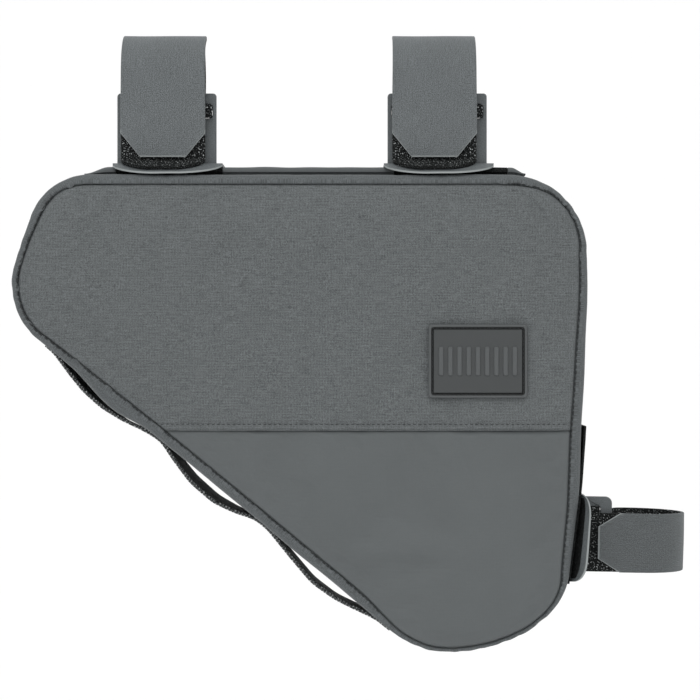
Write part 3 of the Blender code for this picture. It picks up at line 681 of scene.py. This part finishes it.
def panelHeight(x, z, dome, seed):
    # half the depth plus the dome; the edge dives into the seam, and foam makes it uneven
    distance = seamDistance(x, z)
    height = bag["halfDepth"] + domeHeight(distance, dome)
    height -= panelLook["edgeDive"] * (1 - smoothStep(0.0, 1.3, distance))
    inside = smoothStep(2, 16, distance)
    masks = inside, inside, smoothStep(1, 3, distance) * (1 - inside)      # the smallest only by the seam
    for index, ((size, rise), mask) in enumerate(zip(panelLook["hills"], masks)):
        height += hills(x, z, size, 9, seed + index) * rise * mask
    return height, distance


crossSeam = {"fold": 1.0, "stitchUp": 2.9, "stitchPitch": 2.3, "stitchOut": 0.04, "stitch": (1.5, 0.42)}
sewnLine = []          # x and height of the panel where the cross stitches lie


# piece, low and high edge, rows, columns, cloth, node
frontPanels = [
    ("frontPanelUpper", bag["crossSeam"], insideZ[1], 190, 250, ripstopFinish, "front_panel_upper"),
    ("frontPanelLower", insideZ[0], bag["crossSeam"], 170, 200, coatedFinish, "front_panel_lower")]
backPanels = [
    ("backPanelUpper", bag["zipTop"], insideZ[1], 50, 250, ripstopFinish, "back_panel_upper"),
    ("backPanelLower", insideZ[0], bag["zipLow"], 200, 220, ripstopFinish, "back_panel_lower")]


def buildFrontPanels():
    for name, low, high, rows, cols, finish, node in frontPanels:
        x, z = panelPlane(low, high, rows, cols)
        height, distance = panelHeight(x, z, bag["frontDome"], 21)
        puff = panelPuff(low, high, -1, bag["frontDome"], 21)
        print(name, "cloth moved", puff.min().round(2), "to", puff.max().round(2), "mm")
        height += resample(puff, rows, cols) * smoothStep(1, 8, distance)
        middle = labelPlate["centre"]
        beside = roundedBox(x - middle[0], z - middle[1], *labelPlate["size"], 1.0)
        under = np.minimum(height, -labelPlate["back"] - 0.25)      # the panel lies flat behind the label
        height = under + (height - under) * smoothStep(0.5, 7.0, beside)
        if name.endswith("Upper"):      # its edge is folded under and stitched: a low roll above the seam
            away = z - low
            height += crossSeam["fold"] * np.exp(-((away - 1.5) / 1.1) ** 2) * smoothStep(0, 3, distance)
            height -= 0.35 * np.exp(-((away - 3.0) / 0.6) ** 2) * smoothStep(0, 3, distance)
            height -= 0.5 * (1 - smoothStep(0, 0.5, away))
            row = np.argmin(np.abs(away[:, 0] - crossSeam["stitchUp"]))
            sewnLine.append((x[row], height[row]))
        else:          # the coated cloth comes out from under it
            height -= 0.9 * (1 - smoothStep(0.0, 1.8, high - z))
        panelShell(name, x, z, height, -1, finish, (node,))


def buildBackPanels():
    for name, low, high, rows, cols, finish, node in backPanels:
        x, z = panelPlane(low, high, rows, cols)
        height, distance = panelHeight(x, z, bag["backDome"], 51)
        away = (z - low) if name.endswith("Upper") else (high - z)
        height += 0.5 * np.exp(-((away - 1.6) / 1.2) ** 2) * smoothStep(0, 3, distance)
        height -= 0.8 * (1 - smoothStep(0, 0.9, away))
        panelShell(name, x, z, height, 1, finish, (node,))


buildFrontPanels()
buildBackPanels()
print("panels made")


# stitches: short rounded dashes laid along a line

stitchShape = {      # rings along a stitch, as shares of its length, and of half its width
    "place": (-0.5, -0.38, 0, 0.38, 0.5), "thick": (0.25, 0.85, 1.0, 0.85, 0.25),
    "arch": (-0.9, 0.0, 0.25, 0.0, -0.9), "sides": 6,
}


def stitchRow(name, places, along, out, size, finish):
    # each stitch is a small capsule that is thin at both ends; places is x, y and z, and along and
    # out are unit directions, one for all or one for each
    length, width = size
    places = np.stack(np.broadcast_arrays(*places), -1)
    along, out = (np.broadcast_to(np.asarray(way, float), places.shape) for way in (along, out))
    station = np.array(stitchShape["place"]) * length
    thick, arch = (np.array(stitchShape[key]) * width / 2 for key in ("thick", "arch"))
    angle = np.arange(stitchShape["sides"]) * 2 * math.pi / stitchShape["sides"]
    local = (station[:, None, None, None] * along[None, None] +
             (thick[:, None] * np.cos(angle)[None])[..., None, None] * np.cross(along, out)[None, None] +
             (arch[:, None] + thick[:, None] * np.sin(angle)[None])[..., None, None] * out[None, None])
    points = (local + places[None, None]).transpose(2, 0, 1, 3)      # stitch, ring, point, xyz
    start = len(station) * len(angle) * np.arange(len(places))[:, None, None]
    groups = [(group + start).reshape(-1, group.shape[1])
              for group in tubeFaces(len(station), len(angle), True)]
    makePiece(name, points, groups, finish)


seamStitch = {
    "sunk": 0.30, "outwards": 0.30,
    # piece, side, start and end along the outline, pitch, length, width; none where the thread is hidden
    "runs": [("seamStitchesNose", -1, 712, 800, 3.3, 2.5, 0.85),
             ("seamStitchesSlope", -1, 530, 712, 2.3, 1.6, 0.55),
             ("seamStitchesRear", -1, 222, 430, 2.6, 1.9, 0.65),
             ("seamStitchesBack", 1, 0, 789, 2.6, 1.9, 0.65)],
}


def buildSeamStitches():
    reach = np.append(outlineReach, perimeter)
    line = np.hstack([seamLine + outlineNormal * seamStitch["outwards"], outlineTangent])
    line = np.vstack([line, line[:1]])
    for name, side, first, last, pitch, length, width in seamStitch["runs"]:
        marks = np.arange(first, last - pitch / 2, pitch) % perimeter
        x, z, alongX, alongZ = (np.interp(marks, reach, column) for column in line.T)
        along = np.stack([alongX, 0 * x, alongZ], -1)
        along /= np.linalg.norm(along, axis=1)[:, None]
        level = side * (bag["halfDepth"] - seamStitch["sunk"])
        stitchRow(name, (x, level, z), along, (0, side, 0), (length, width), threadFinish)


def buildCrossStitches():
    level = bag["crossSeam"] + crossSeam["stitchUp"]
    left, right = spanAt(np.array([level]))
    x = np.arange(left[0] + 3, right[0] - 2, crossSeam["stitchPitch"])
    height = np.interp(x, *sewnLine[0]) + crossSeam["stitchOut"]
    stitchRow("crossStitches", (x, -height, level), (1, 0, 0), (0, -1, 0), crossSeam["stitch"], threadFinish)


buildSeamStitches()
buildCrossStitches()
print("stitches made")


# ribbons: a flat section with rounded edges carried along a path

def sectionLoop(half, thickness, edge, across=9):
    # closed section with rounded edges: half is an array over the path; gives across and up for
    # each point; its second half is the first, turned half way round
    inner = np.asarray(half, float)[:, None] - edge
    turn = np.linspace(0, math.pi / 2, 5)[None, 1:-1]
    top = thickness / 2
    parts = [(inner * np.linspace(-1, 1, across)[None], -top),
             (inner + edge * np.sin(turn), -top + edge - edge * np.cos(turn)),
             (inner + edge, np.array([[-top + edge, top - edge]])),
             (inner + edge * np.cos(turn), top - edge + edge * np.sin(turn))]
    wide, high = (np.hstack([np.broadcast_arrays(*part)[k] for part in parts]) for k in (0, 1))
    return np.hstack([wide, -wide]), np.hstack([high, -high])


def axesFrame(first, second, third, origin):
    return np.array([first, second, third], float), np.array(origin, float)


def ribbonPiece(name, path, tangent, reach, halves, thickness, edge, axes, finish, replaced=(),
                shift=0.0, lean=None, swell=None, rimWidth=0.5, rimEnd=0.0, hookLiningAndHemShade=None):
    # path in the frame's first two axes, the ribbon's width along the third
    across, up = sectionLoop(halves, thickness, edge)
    normal = np.stack([-tangent[:, 1], tangent[:, 0]], -1)
    if swell is not None:
        up = up + swell(reach[:, None], across)
    flat = path[:, None, :] + normal[:, None, :] * up[..., None]
    sideways = across + shift
    if lean is not None:
        flat = flat + np.stack([0 * sideways, lean(path[:, 1])[:, None] * sideways], -1)
    turn, origin = axes
    points = origin + flat[..., :1] * turn[0] + flat[..., 1:] * turn[1] + sideways[..., None] * turn[2]
    halves = np.asarray(halves)[:, None]
    rim = smoothStep(halves - rimWidth, halves - rimWidth * 0.3, np.abs(across))
    if rimEnd:
        rim = np.maximum(rim * smoothStep(reach[-1] - rimEnd - 2, reach[-1] - rimEnd, reach)[:, None],
                         smoothStep(reach[-1] - 0.45, reach[-1], reach)[:, None])
    weave = np.stack([reach[:, None] + 0 * across, across + 100 * (up > 0)], -1)
    faces = tubeFaces(*across.shape, np.linalg.det(turn) > 0)
    piece = makePiece(name, points, faces, finish, replaced, weave, {"rim": rim}, sharp=40)
    if hookLiningAndHemShade is not None:       # the inner face gets the second cloth, the black hook side; all round the first few millimetres, the hem and its bend into the slot, the black is painted shade that darkens the slot
        piece.data.materials.append(hookLiningAndHemShade[0])
        inside = (up[:-1] > thickness * 0.3) | (reach[:-1, None] < hookLiningAndHemShade[1])
        second = np.concatenate([inside.ravel(), [True, False]]).astype(np.int32)
        piece.data.polygons.foreach_set("material_index", second)
    return piece


straps = {
    "thickness": 1.8, "tabThickness": 1.6, "footThickness": 1.4, "gap": 0.3, "slotGap": 0.06,
    "earReach": 13.3, "hem": 5.3, "hemShare": 0.90, "endShare": 0.54, "flangeBack": 20.0,
    "lip": 9.5, "tipShare": 0.25, "padWidth": 34.0, "widens": 20, "topX": 61.3, "base": -43.7,
    "seatBase": -30.5, "seatPlace": (155.47, 0, -213.93), "seatTilt": 1.0, "seatSlope": -6.5,
    "earEdge": 0.35, "earFoot": 0.7, "earFootRound": 0.4, "slotRound": 1.7,
    "clothFront": 0.70, "clothSide": 0.93,        # shares of the flange's underside under loop cloth
}
topSize = {
    "width": 38.0, "hemHalf": 20.62, "narrow": 56.0, "tube": 28.6, "slack": 1.0, "front": 39.6,
    "chamfer": 10.8, "tabTop": 7.0,
    "slotHeight": 6.3, "slotWidth": 41.4, "slotShift": 1.4, "earWidth": 45.0, "earShift": 1.4,
    "bar": 4.94, "flangeWidth": 49.6, "flangeShift": 2.0, "lipDrop": 4.5, "lipCurve": 2.0, "earRound": 1.6,
}
seatSize = {
    "width": 26.5, "hemHalf": 14.42, "narrow": 26.0, "tube": 34.9, "slack": 1.8, "front": 20.4,
    "chamfer": 9.8, "tabTop": 9.5,
    "slotHeight": 3.4, "slotWidth": 29.0, "slotShift": -1.8, "earWidth": 34.1, "earShift": -3.4,
    "bar": 5.44, "flangeWidth": 39.3, "flangeShift": -1.7, "lipDrop": -4.0, "lipCurve": 5.0, "earRound": 3.0,
}
hemDepth = -straps["earReach"] - (straps["footThickness"] + straps["thickness"]) / 2 - straps["gap"]
tabDepth = hemDepth - (straps["thickness"] + straps["tabThickness"]) / 2 - straps["gap"]
frontDepth = tabDepth - (straps["thickness"] + straps["tabThickness"]) / 2 - straps["gap"]


def buildStrap(name, size, axes, replaced, cloth):
    # from the hem in front of the ear, through its slot, round the tube, down to the cut end
    radius = size["tube"] / 2 + size["slack"] + straps["thickness"] / 2
    path, tangent, reach, _ = roundedPath([
        (hemDepth, -radius - straps["hem"], 0), (hemDepth, -radius, 1.1),
        (radius, -radius, radius * 0.99), (radius, radius, radius * 0.99),
        (frontDepth, radius, radius * 0.99), (frontDepth, -size["front"], 0)], 0.9)
    widening = smoothStep(size["narrow"], size["narrow"] + straps["widens"], reach)
    share = straps["hemShare"] + (1 - straps["hemShare"]) * widening
    early = 1 - smoothStep(14, 26, reach)        # the hem fills its slot
    share = share + (size["hemHalf"] / size["width"] * 2 - share) * early
    left = reach[-1] - reach
    share = np.where(left < size["chamfer"],
                     straps["endShare"] + (1 - straps["endShare"]) * left / size["chamfer"], share)
    share = share * (1 + 0.008 * np.sin(reach / 17.0))

    def swell(along, across):
        return 0.10 * hills(along, across, 26, 7, 9) * smoothStep(4, 20, along)

    # the black hook cloth on the inner face is real; black all round the hem is painted shade for the slot
    return ribbonPiece(name, path, tangent, reach, share * size["width"] / 2, straps["thickness"], 0.45,
                       axes, cloth, replaced, swell=swell, rimWidth=0.5, rimEnd=size["chamfer"],
                       shift=(early * size["slotShift"])[:, None],
                       hookLiningAndHemShade=(hookFinish, straps["hem"] + 1.5))


def lipEnds(size, base):
    start = np.array([-straps["padWidth"] / 2 - 2 * straps["gap"], base + straps["footThickness"] / 2])
    return start, start + np.array([-straps["lip"], -size["lipDrop"]])


def buildTab(name, size, axes, base, lean, replaced):
    # hook tab: rises in front of the ear, and its foot widens and lies on the lip
    start, tip = lipEnds(size, base)
    along = (start - tip) / np.linalg.norm(start - tip)
    lift = (straps["footThickness"] + straps["tabThickness"]) / 2 + straps["gap"]
    raised = np.array([-along[1], along[0]]) * lift
    toe = tip + raised + along * 2.0
    corner = toe + along * (tabDepth - toe[0]) / along[0]
    path, tangent, reach, _ = roundedPath([(*toe, 0), (*corner, 1.5), (tabDepth, -size["tabTop"], 0)], 0.6)
    run = (tabDepth - toe[0]) / along[0]
    share = np.sqrt(np.clip(1 - (1 - reach / run) ** 2 * 0.86, 0.02, 1)) * (reach < run) + (reach >= run)
    return ribbonPiece(name, path, tangent, reach, share * size["width"] / 2, straps["tabThickness"], 0.4,
                       axes, hookFinish, replaced, lean=lean)


def buildFoot(name, size, axes, base, lean, replaced):
    # flange: a plate whose front edge is an ellipse that droops; ear: a slotted plate on it
    start = lipEnds(size, base)[0]
    half = size["flangeWidth"] / 2
    a = np.sin(np.linspace(-math.pi / 2, math.pi / 2, 61))[None, :]
    q = np.concatenate([np.linspace(-1, 0, 16)[:-1], np.linspace(0, 1, 18)])[:, None]
    narrowed = np.maximum(1 - np.abs(a) ** size["lipCurve"], 0) ** 0.5
    part = np.maximum(q, 0) * np.minimum(1.0, narrowed / (1 - straps["tipShare"] ** 2) ** 0.5)
    depthway = np.where(q < 0, start[0] + (-q) * (straps["flangeBack"] - start[0]),
                        start[0] - straps["lip"] * part)
    level = start[1] - size["lipDrop"] * part ** 1.15
    across = a * half + size["flangeShift"] + 0 * q
    level = level + 0.25 * np.sin(across / 9.0 + 1) * np.maximum(q, 0)
    thin = straps["footThickness"] / 2 * (1 - 0.5 * smoothStep(0.55, 1.0, q))
    top, bottom = level + thin, level - thin
    turn, origin = axes

    def lift(depth, height, side):
        height = height + (lean(height) * side if lean is not None else 0)
        return origin + depth[..., None] * turn[0] + height[..., None] * turn[1] + side[..., None] * turn[2]

    rimValue = np.zeros(across.shape)
    rimValue[-1] = 1
    turned = np.linalg.det(turn) > 0
    flangePoints, flangeFaces = plate(lift(depthway, top, across), lift(depthway, bottom, across), turned)

    radius = size["tube"] / 2 + size["slack"] + straps["thickness"] / 2
    slotTop = -radius + straps["thickness"] / 2 + straps["slotGap"]
    earTop = slotTop + size["bar"]
    ear = [size["earShift"] + end * size["earWidth"] / 2 for end in (-1, 1)]
    outerLoop = boxLoop(*ear, base + straps["earFoot"], earTop, straps["earFootRound"], size["earRound"])
    slot = [size["slotShift"] + end * size["slotWidth"] / 2 for end in (-1, 1)]
    slotLoop = boxLoop(*slot, slotTop - size["slotHeight"], slotTop, straps["slotRound"], straps["slotRound"])
    edge, thick = straps["earEdge"], straps["footThickness"] / 2
    inset, grown = shrinkLoop(outerLoop, edge), shrinkLoop(slotLoop, -edge)
    stack = [(grown, thick), (inset, thick), (outerLoop, thick - edge), (outerLoop, edge - thick),
             (inset, -thick), (grown, -thick), (slotLoop, edge - thick), (slotLoop, thick - edge)]
    earPoints = np.stack([lift(np.full(len(loop), -straps["earReach"] + depth), loop[:, 1], loop[:, 0])
                          for loop, depth in stack])
    earFaces = gridFaces(*earPoints.shape[:2], True, True, start=len(flangePoints))
    if turned:
        earFaces = earFaces[:, ::-1]
    points = np.concatenate([flangePoints, earPoints.reshape(-1, 3)])
    values = np.concatenate([np.tile(rimValue.ravel(), 2), np.zeros(earPoints[..., 0].size)])
    piece = makePiece(name, points, flangeFaces + [earFaces], mouldedFinish, replaced, None,
                      {"rim": values}, sharp=35)
    # the ear's darker copy of the moulding colour is painted shade
    piece.data.materials.append(earShadedFinish)
    piece.data.materials.append(loopFinish)          # black loop cloth under the flange, with a bare margin
    count = len(flangeFaces[0])
    cloth = np.zeros(len(piece.data.polygons), np.int32)
    deep, wide = q[1:], np.abs(a[:, 1:])
    covered = (deep < straps["clothFront"]) & (deep > -straps["clothSide"]) & (wide < straps["clothSide"])
    cloth[count:2 * count] = 2 * covered.ravel()
    cloth[-len(earFaces):] = 1
    piece.data.polygons.foreach_set("material_index", cloth)


def boxLoop(left, right, low, high, lowRadius, highRadius, side=14, arc=7):
    # rounded box with the same number of points on each side and in each corner
    corners = np.array([(left, low, lowRadius), (right, low, lowRadius),
                        (right, high, highRadius), (left, high, highRadius)], float)
    arcs = [cornerArc(corners[k - 1, :2], corners[k, :2], corners[(k + 1) % 4, :2], corners[k, 2], arc)
            for k in range(4)]
    parts = []
    for k in range(4):
        t = np.linspace(0, 1, side + 2)[1:-1, None]
        parts += [arcs[k], arcs[k][-1] * (1 - t) + arcs[(k + 1) % 4][0] * t]
    return np.concatenate(parts)


def shrinkLoop(loop, amount):
    # moves each point of a counter-clockwise loop inwards by an amount
    tangent = np.roll(loop, -1, 0) - np.roll(loop, 1, 0)
    tangent /= np.maximum(np.linalg.norm(tangent, axis=1), 1e-9)[:, None]
    return loop + np.stack([-tangent[:, 1], tangent[:, 0]], -1) * amount


for side, word in ((-1, "front"), (1, "rear")):
    axes = axesFrame((0, 1, 0), (0, 0, 1), (1, 0, 0), (side * straps["topX"], 0, 0))
    cap = word.capitalize()
    buildFoot("foot" + cap, topSize, axes, straps["base"], None, ("foot_" + word,))
    buildTab("tab" + cap, topSize, axes, straps["base"], None, ("tab_" + word,))
    buildStrap("strap" + cap, topSize, axes, ("strap_" + word,), strapFinish)

tilt, seatBase = math.radians(straps["seatTilt"]), straps["seatBase"]
seatUp = np.array([math.cos(tilt), 0, -math.sin(tilt)])
seatAxes = axesFrame((0, 1, 0), seatUp, np.cross((0, 1, 0), seatUp), straps["seatPlace"])


def seatLean(height):
    # the foot follows the gusset's slope, fading out by the slot
    slot = seatSize["tube"] / 2
    fade = np.clip((-height - slot) / (-seatBase - slot), 0, 1)
    return math.tan(math.radians(straps["seatSlope"])) * fade


buildFoot("footSeat", seatSize, seatAxes, seatBase, seatLean, ("foot_seat",))
buildTab("tabSeat", seatSize, seatAxes, seatBase, seatLean, ("tab_seat",))
# the seat strap's darker cloth is painted shade
buildStrap("strapSeat", seatSize, seatAxes, ("strap_seat",), seatStrapShadedFinish)
print("straps, tabs and feet made")


# webbing along the sloping side: each edge has its own lift over the bag, so it twists

def buildWebbing():
    table = np.array(webbing["lifts"])
    along = np.linspace(table[0, 0], table[-1, 0], 330)
    raw = [np.interp(along, table[:, 0], table[:, k]) for k in (1, 2)]
    window = np.hanning(19)
    window /= window.sum()
    front, back = (np.convolve(np.pad(value, 9, "edge"), window, "valid") for value in raw)
    across, up = sectionLoop(np.full(len(along), webbing["width"] / 2), webbing["thickness"], 0.55, across=13)
    part = (across / webbing["width"] + 0.5)
    lift = front[:, None] * (1 - part) + back[:, None] * part + up
    out = np.array([webbingWay[1], -webbingWay[0]])
    flat = np.array(webbing["start"]) + webbingWay * along[:, None, None] + out * lift[..., None]
    points = np.stack([flat[..., 0], across, flat[..., 1]], -1)
    rim = smoothStep(8.2, 8.9, np.abs(across))
    weave = np.stack([along[:, None] + 0 * across, across + 100 * (up < 0)], -1)
    makePiece("webbingLoops", points, tubeFaces(*across.shape), webbingFinish, ("webbing",), weave,
              {"rim": rim})


buildWebbing()
print("webbing made")


# top pads and loop patches

topPads = {
    "low": -47.6, "high": -44.0, "halfWidth": 17.0,
    "rows": [("topPadNose", "top_pad_nose", -97.1, -82.7, 11.0, 0.0),
             ("loopPadFront", "loop_pad_front", -82.7, -34.6, 0.0, 0.0),
             ("topPadMiddle", "top_pad_middle", -34.6, 43.3, 0.0, 0.0),
             ("loopPadRear", "loop_pad_rear", 43.3, 94.5, 0.0, 0.0),
             ("topPadTail", "top_pad_tail", 94.5, 102.7, 0.0, 6.6)],
}


def buildTopPads():
    # a rounded rectangle section carried along x, its height dropping at a sloping end
    for name, node, start, end, slopeStart, slopeEnd in topPads["rows"]:
        x = np.linspace(start + 0.15, end - 0.15, max(24, int((end - start) / 0.8)))
        full = topPads["high"] - topPads["low"]
        height = full * np.ones_like(x)
        if slopeStart:
            height = np.minimum(height, 0.8 + (full - 0.8) * smoothStep(0, slopeStart, x - x[0]))
        if slopeEnd:
            height = np.minimum(height, 0.8 + (full - 0.8) * smoothStep(0, slopeEnd, x[-1] - x))
        across, up = sectionLoop(np.full(len(x), topPads["halfWidth"]), 2.0, 0.8, across=15)
        part = (up + 1.0) / 2.0
        across = across * np.where(part < 0.3, 0.92, 1.0)         # the pad's lower edge tucks in
        swell = 0.10 * hills(x[:, None] + 0 * across, across, 22, 7, 31) * (part > 0.5)
        z = topPads["low"] + part * height[:, None] + swell
        points = np.stack([x[:, None] + 0 * across, across, z], -1)
        finish = loopFinish if name.startswith("loop") else coatedFinish
        piece = makePiece(name, points, tubeFaces(*across.shape, True), finish, (node,), sharp=50)


buildTopPads()

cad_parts["loop_patch_seat"].data.materials.clear()
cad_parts["loop_patch_seat"].data.materials.append(loopFinish)


# label: a height over its plane, with rim, stitched groove, field and plain ribs

def labelMaterial():
    # matt rubber; the field is darker than the rim and the ribs, and the stitched groove is painted near
    # black as shade
    made, tree, shader = newMaterial("labelRubber", (0.06, 0.065, 0.067), 0.55, 0.0, 0.4)
    tone = node(tree, "ShaderNodeAttribute", attribute_name="tone").outputs["Fac"]
    grain = noise(tree, place(tree, False), 2200.0, 3.0, 0.6)
    dark = mixColour(tree, grain, (0.038, 0.042, 0.043), (0.047, 0.051, 0.052))
    light = mixColour(tree, grain, (0.061, 0.066, 0.068), (0.073, 0.079, 0.081))
    rubber = mixColour(tree, tone, dark, light)
    # painted shade: where tone falls below zero, in the stitched groove, the rubber turns near black
    sewn = stretch(tree, tone, -0.7, 0.0, 1.0, 0.0)
    dress(tree, shader, mixColour(tree, sewn, rubber, (0.010, 0.011, 0.011)),
          bump(tree, grain, 0.05 * mm, 0.6))
    return made


def buildLabel():
    values = labelPlate
    width, height = values["size"]
    rows, cols = values["grid"]
    u, v = np.meshgrid(np.linspace(-width / 2, width / 2, cols), np.linspace(-height / 2, height / 2, rows))
    sewn = width - 2 * values["sewnIn"], height - 2 * values["sewnIn"]
    outer = roundedBox(u, v, width, height, values["corner"])
    groove = np.abs(roundedBox(u, v, *sewn, values["sewnCorner"]))
    inside = roundedBox(u, v, width - 2 * values["rim"], height - 2 * values["rim"], values["corner"])
    middles = (np.arange(values["ribs"]) - (values["ribs"] - 1) / 2) * values["ribPitch"]
    rib = np.min([roundedBox(u - middle, v, values["ribWidth"], values["ribHeight"], values["ribCorner"])
                  for middle in middles], 0)
    rise = values["thickness"] - values["relief"] * (1 - smoothStep(-0.30, 0.0, inside))
    rise += values["relief"] * (1 - smoothStep(-0.30, 0.02, rib))
    rise -= values["sewnDepth"] * (1 - smoothStep(0.30, 0.70, groove))
    rise = np.maximum(rise - values["edgeDrop"] * smoothStep(-0.45, 0.0, outer), values["least"])
    tone = np.maximum(smoothStep(-0.35, 0.0, inside), 1 - smoothStep(-0.25, 0.05, rib))
    # tone drops below zero in the stitched groove, which the material paints as shade
    tone = tone * smoothStep(0.3, 0.75, groove) - 0.9 * (1 - smoothStep(0.3, 0.65, groove))
    # points outside the rounded corners move in to the corner's circle
    dx = np.maximum(np.abs(u) - width / 2 + values["corner"], 0)
    dy = np.maximum(np.abs(v) - height / 2 + values["corner"], 0)
    pull = np.maximum(outer, 0) / np.maximum(np.hypot(dx, dy), 1e-9)
    x = values["centre"][0] + u - np.sign(u) * dx * pull
    z = values["centre"][1] + v - np.sign(v) * dy * pull
    sides = (np.stack([x, values["back"] - level, z], -1) for level in (rise, 0 * rise))
    makePiece("labelPlate", *plate(*sides), labelMaterial(), ("label",), None,
              {"tone": np.tile(tone.ravel(), 2)})
    corners = [(a * sewn[0] / 2, b * sewn[1] / 2, values["sewnCorner"])
               for a, b in ((-1, -1), (1, -1), (1, 1), (-1, 1))]
    path, tangent, _, _ = roundedPath(corners, values["stitchPitch"], closed=True)
    places = (values["centre"][0] + path[:, 0], values["back"] - values["thickness"] + values["stitchSunk"],
              values["centre"][1] + path[:, 1])
    along = np.stack([tangent[:, 0], 0 * tangent[:, 0], tangent[:, 1]], -1)
    stitchRow("labelStitches", places, along, (0, -1, 0), values["stitch"], threadFinish)


buildLabel()
print("label made")


# zip in the back panel

zipValues = {
    "middle": -77.9, "gap": 0.15, "grid": (26, 260), "sunk": 0.7, "thickness": 1.3,
    "toothPitch": 1.6, "toothOff": 0.75, "toothSunk": 0.25, "tooth": (2.6, 1.0), "ends": 8,
    "sliderTooth": 12, "sliderHalf": (4.6, 3.6),
    # share of the slider's outline, height
    "sliderLayers": [(0.80, 0.2), (1.0, 0.6), (1.0, 1.6), (0.9, 2.3), (0.55, 2.8)],
}
zipTapeFinish = wovenMaterial("zipTape", dict(ripstop, colour=(0.022, 0.024, 0.025), gridPitch=1.1 * mm,
                                              gridContrast=0.3))


def buildZip():
    middle = zipValues["middle"]
    x, z = panelPlane(bag["zipLow"] + zipValues["gap"], bag["zipTop"] - zipValues["gap"], *zipValues["grid"])
    distance = seamDistance(x, z)
    height = bag["halfDepth"] + domeHeight(distance, bag["backDome"]) - zipValues["sunk"]
    height -= 0.8 * (1 - smoothStep(0, 1.3, distance))
    height += 0.25 * np.exp(-((z - middle) / 2.4) ** 2)
    sides = (np.stack([x, level, z], -1) for level in (height, height - zipValues["thickness"]))
    makePiece("zipTape", *plate(*sides, True), zipTapeFinish, ("zip",))
    left, right = spanAt(np.array([middle]))
    marks = np.arange(left[0] + zipValues["ends"], right[0] - zipValues["ends"], zipValues["toothPitch"] / 2)
    level = middle + np.where(np.arange(len(marks)) % 2, 1, -1) * zipValues["toothOff"]
    over = bag["halfDepth"] + domeHeight(seamDistance(marks, level), bag["backDome"]) - zipValues["toothSunk"]
    stitchRow("zipCoil", (marks, over, level), (0, 0, 1), (0, 1, 0), zipValues["tooth"], zipFinish)
    # slider: a domed body with a pull tab hanging from it
    side, base = marks[zipValues["sliderTooth"]], over[zipValues["sliderTooth"]]
    u = np.linspace(0, 2 * math.pi, 25)[:-1]
    ringX, ringZ = (np.sign(wave) * np.abs(wave) ** 0.6 * half
                    for wave, half in zip((np.cos(u), np.sin(u)), zipValues["sliderHalf"]))
    rings = [np.stack(np.broadcast_arrays(side + ringX * share, base + rise, middle + ringZ * share), -1)
             for share, rise in zipValues["sliderLayers"]]
    makePiece("zipSlider", rings, tubeFaces(len(rings), len(u)), metalFinish)
    path, tangent, reach, _ = roundedPath([(base + 2.9, middle + 1.5, 0), (base + 3.4, middle - 3, 1.5),
                                           (base + 2.2, middle - 19, 0)], 0.8)
    ribbonPiece("zipPull", path, tangent, reach, 1.6 + 2.0 * smoothStep(4, 9, reach), 1.2, 0.5,
                axesFrame((0, 1, 0), (0, 0, 1), (1, 0, 0), (side, 0, 0)), strapFinish)
buildZip()
print("zip made")


# studio

studio = {
    "world": 0.965, "floorColour": (0.985, 0.985, 0.985),
    # metres: half the floor's width, where and how widely it sweeps up, the wall's top, the drop
    "halfWidth": 6.0, "sweep": 1.6, "wallTop": 6.0, "floorDrop": -0.62,
    # name, power, size, place
    "lights": [("keyLight", 11.0, 1.1, (-0.35, -1.2, 1.25)), ("fillLight", 1.0, 1.4, (1.3, -1.2, 0.1))],
    "target": (0.02, 0, -0.14),
    "lens": 111.8, "sensor": 36.0, "cameraPlace": (0.02316, -1.0, -0.1267),
}


def buildStudio():
    # floor far below that sweeps up behind, as a profile carried along x
    sweep, turn = studio["sweep"], np.linspace(0, math.pi / 2, 14)[1:]
    near, wide = studio["halfWidth"], np.linspace(-1, 1, 7) * studio["halfWidth"]
    depth = np.concatenate([np.linspace(-near, sweep, 12), sweep + sweep * np.sin(turn), [2 * sweep]])
    rise = np.concatenate([np.zeros(12), sweep - sweep * np.cos(turn), [studio["wallTop"]]])
    rise += studio["floorDrop"]
    points = np.stack(np.broadcast_arrays(wide[None], depth[:, None], rise[:, None]), -1)
    mesh = bpy.data.meshes.new("studioFloor")
    mesh.from_pydata(points.reshape(-1, 3).tolist(), [], gridFaces(len(depth), len(wide)).tolist())
    mesh.polygons.foreach_set("use_smooth", np.ones(len(mesh.polygons), bool))
    mesh.materials.append(newMaterial("studioPaper", studio["floorColour"], 0.9, 0.0, 0.1)[0])
    floor = bpy.data.objects.new("studioFloor", mesh)
    scene = bpy.context.scene
    scene.collection.objects.link(floor)
    scene.world = bpy.data.worlds.new("studioLight")
    scene.world.use_nodes = True
    background = scene.world.node_tree.nodes["Background"]
    background.inputs["Color"].default_value = (1, 1, 1, 1)
    background.inputs["Strength"].default_value = studio["world"]
    scene.view_settings.view_transform = "Standard"      # white paper stays white
    for name, power, size, spot in studio["lights"]:
        light = bpy.data.lights.new(name, "AREA")
        light.energy, light.size = power, size
        lamp = bpy.data.objects.new(name, light)
        lamp.location = spot
        lamp.rotation_euler = (Vector(studio["target"]) - Vector(spot)).to_track_quat("-Z", "Y").to_euler()
        scene.collection.objects.link(lamp)
    camera = bpy.data.cameras.new("camera")
    camera.lens, camera.sensor_width = studio["lens"], studio["sensor"]
    view = bpy.data.objects.new("camera", camera)
    view.location = studio["cameraPlace"]
    view.rotation_euler = (math.pi / 2, 0, 0)
    scene.collection.objects.link(view)
    scene.camera = view


buildStudio()
print("studio ready")
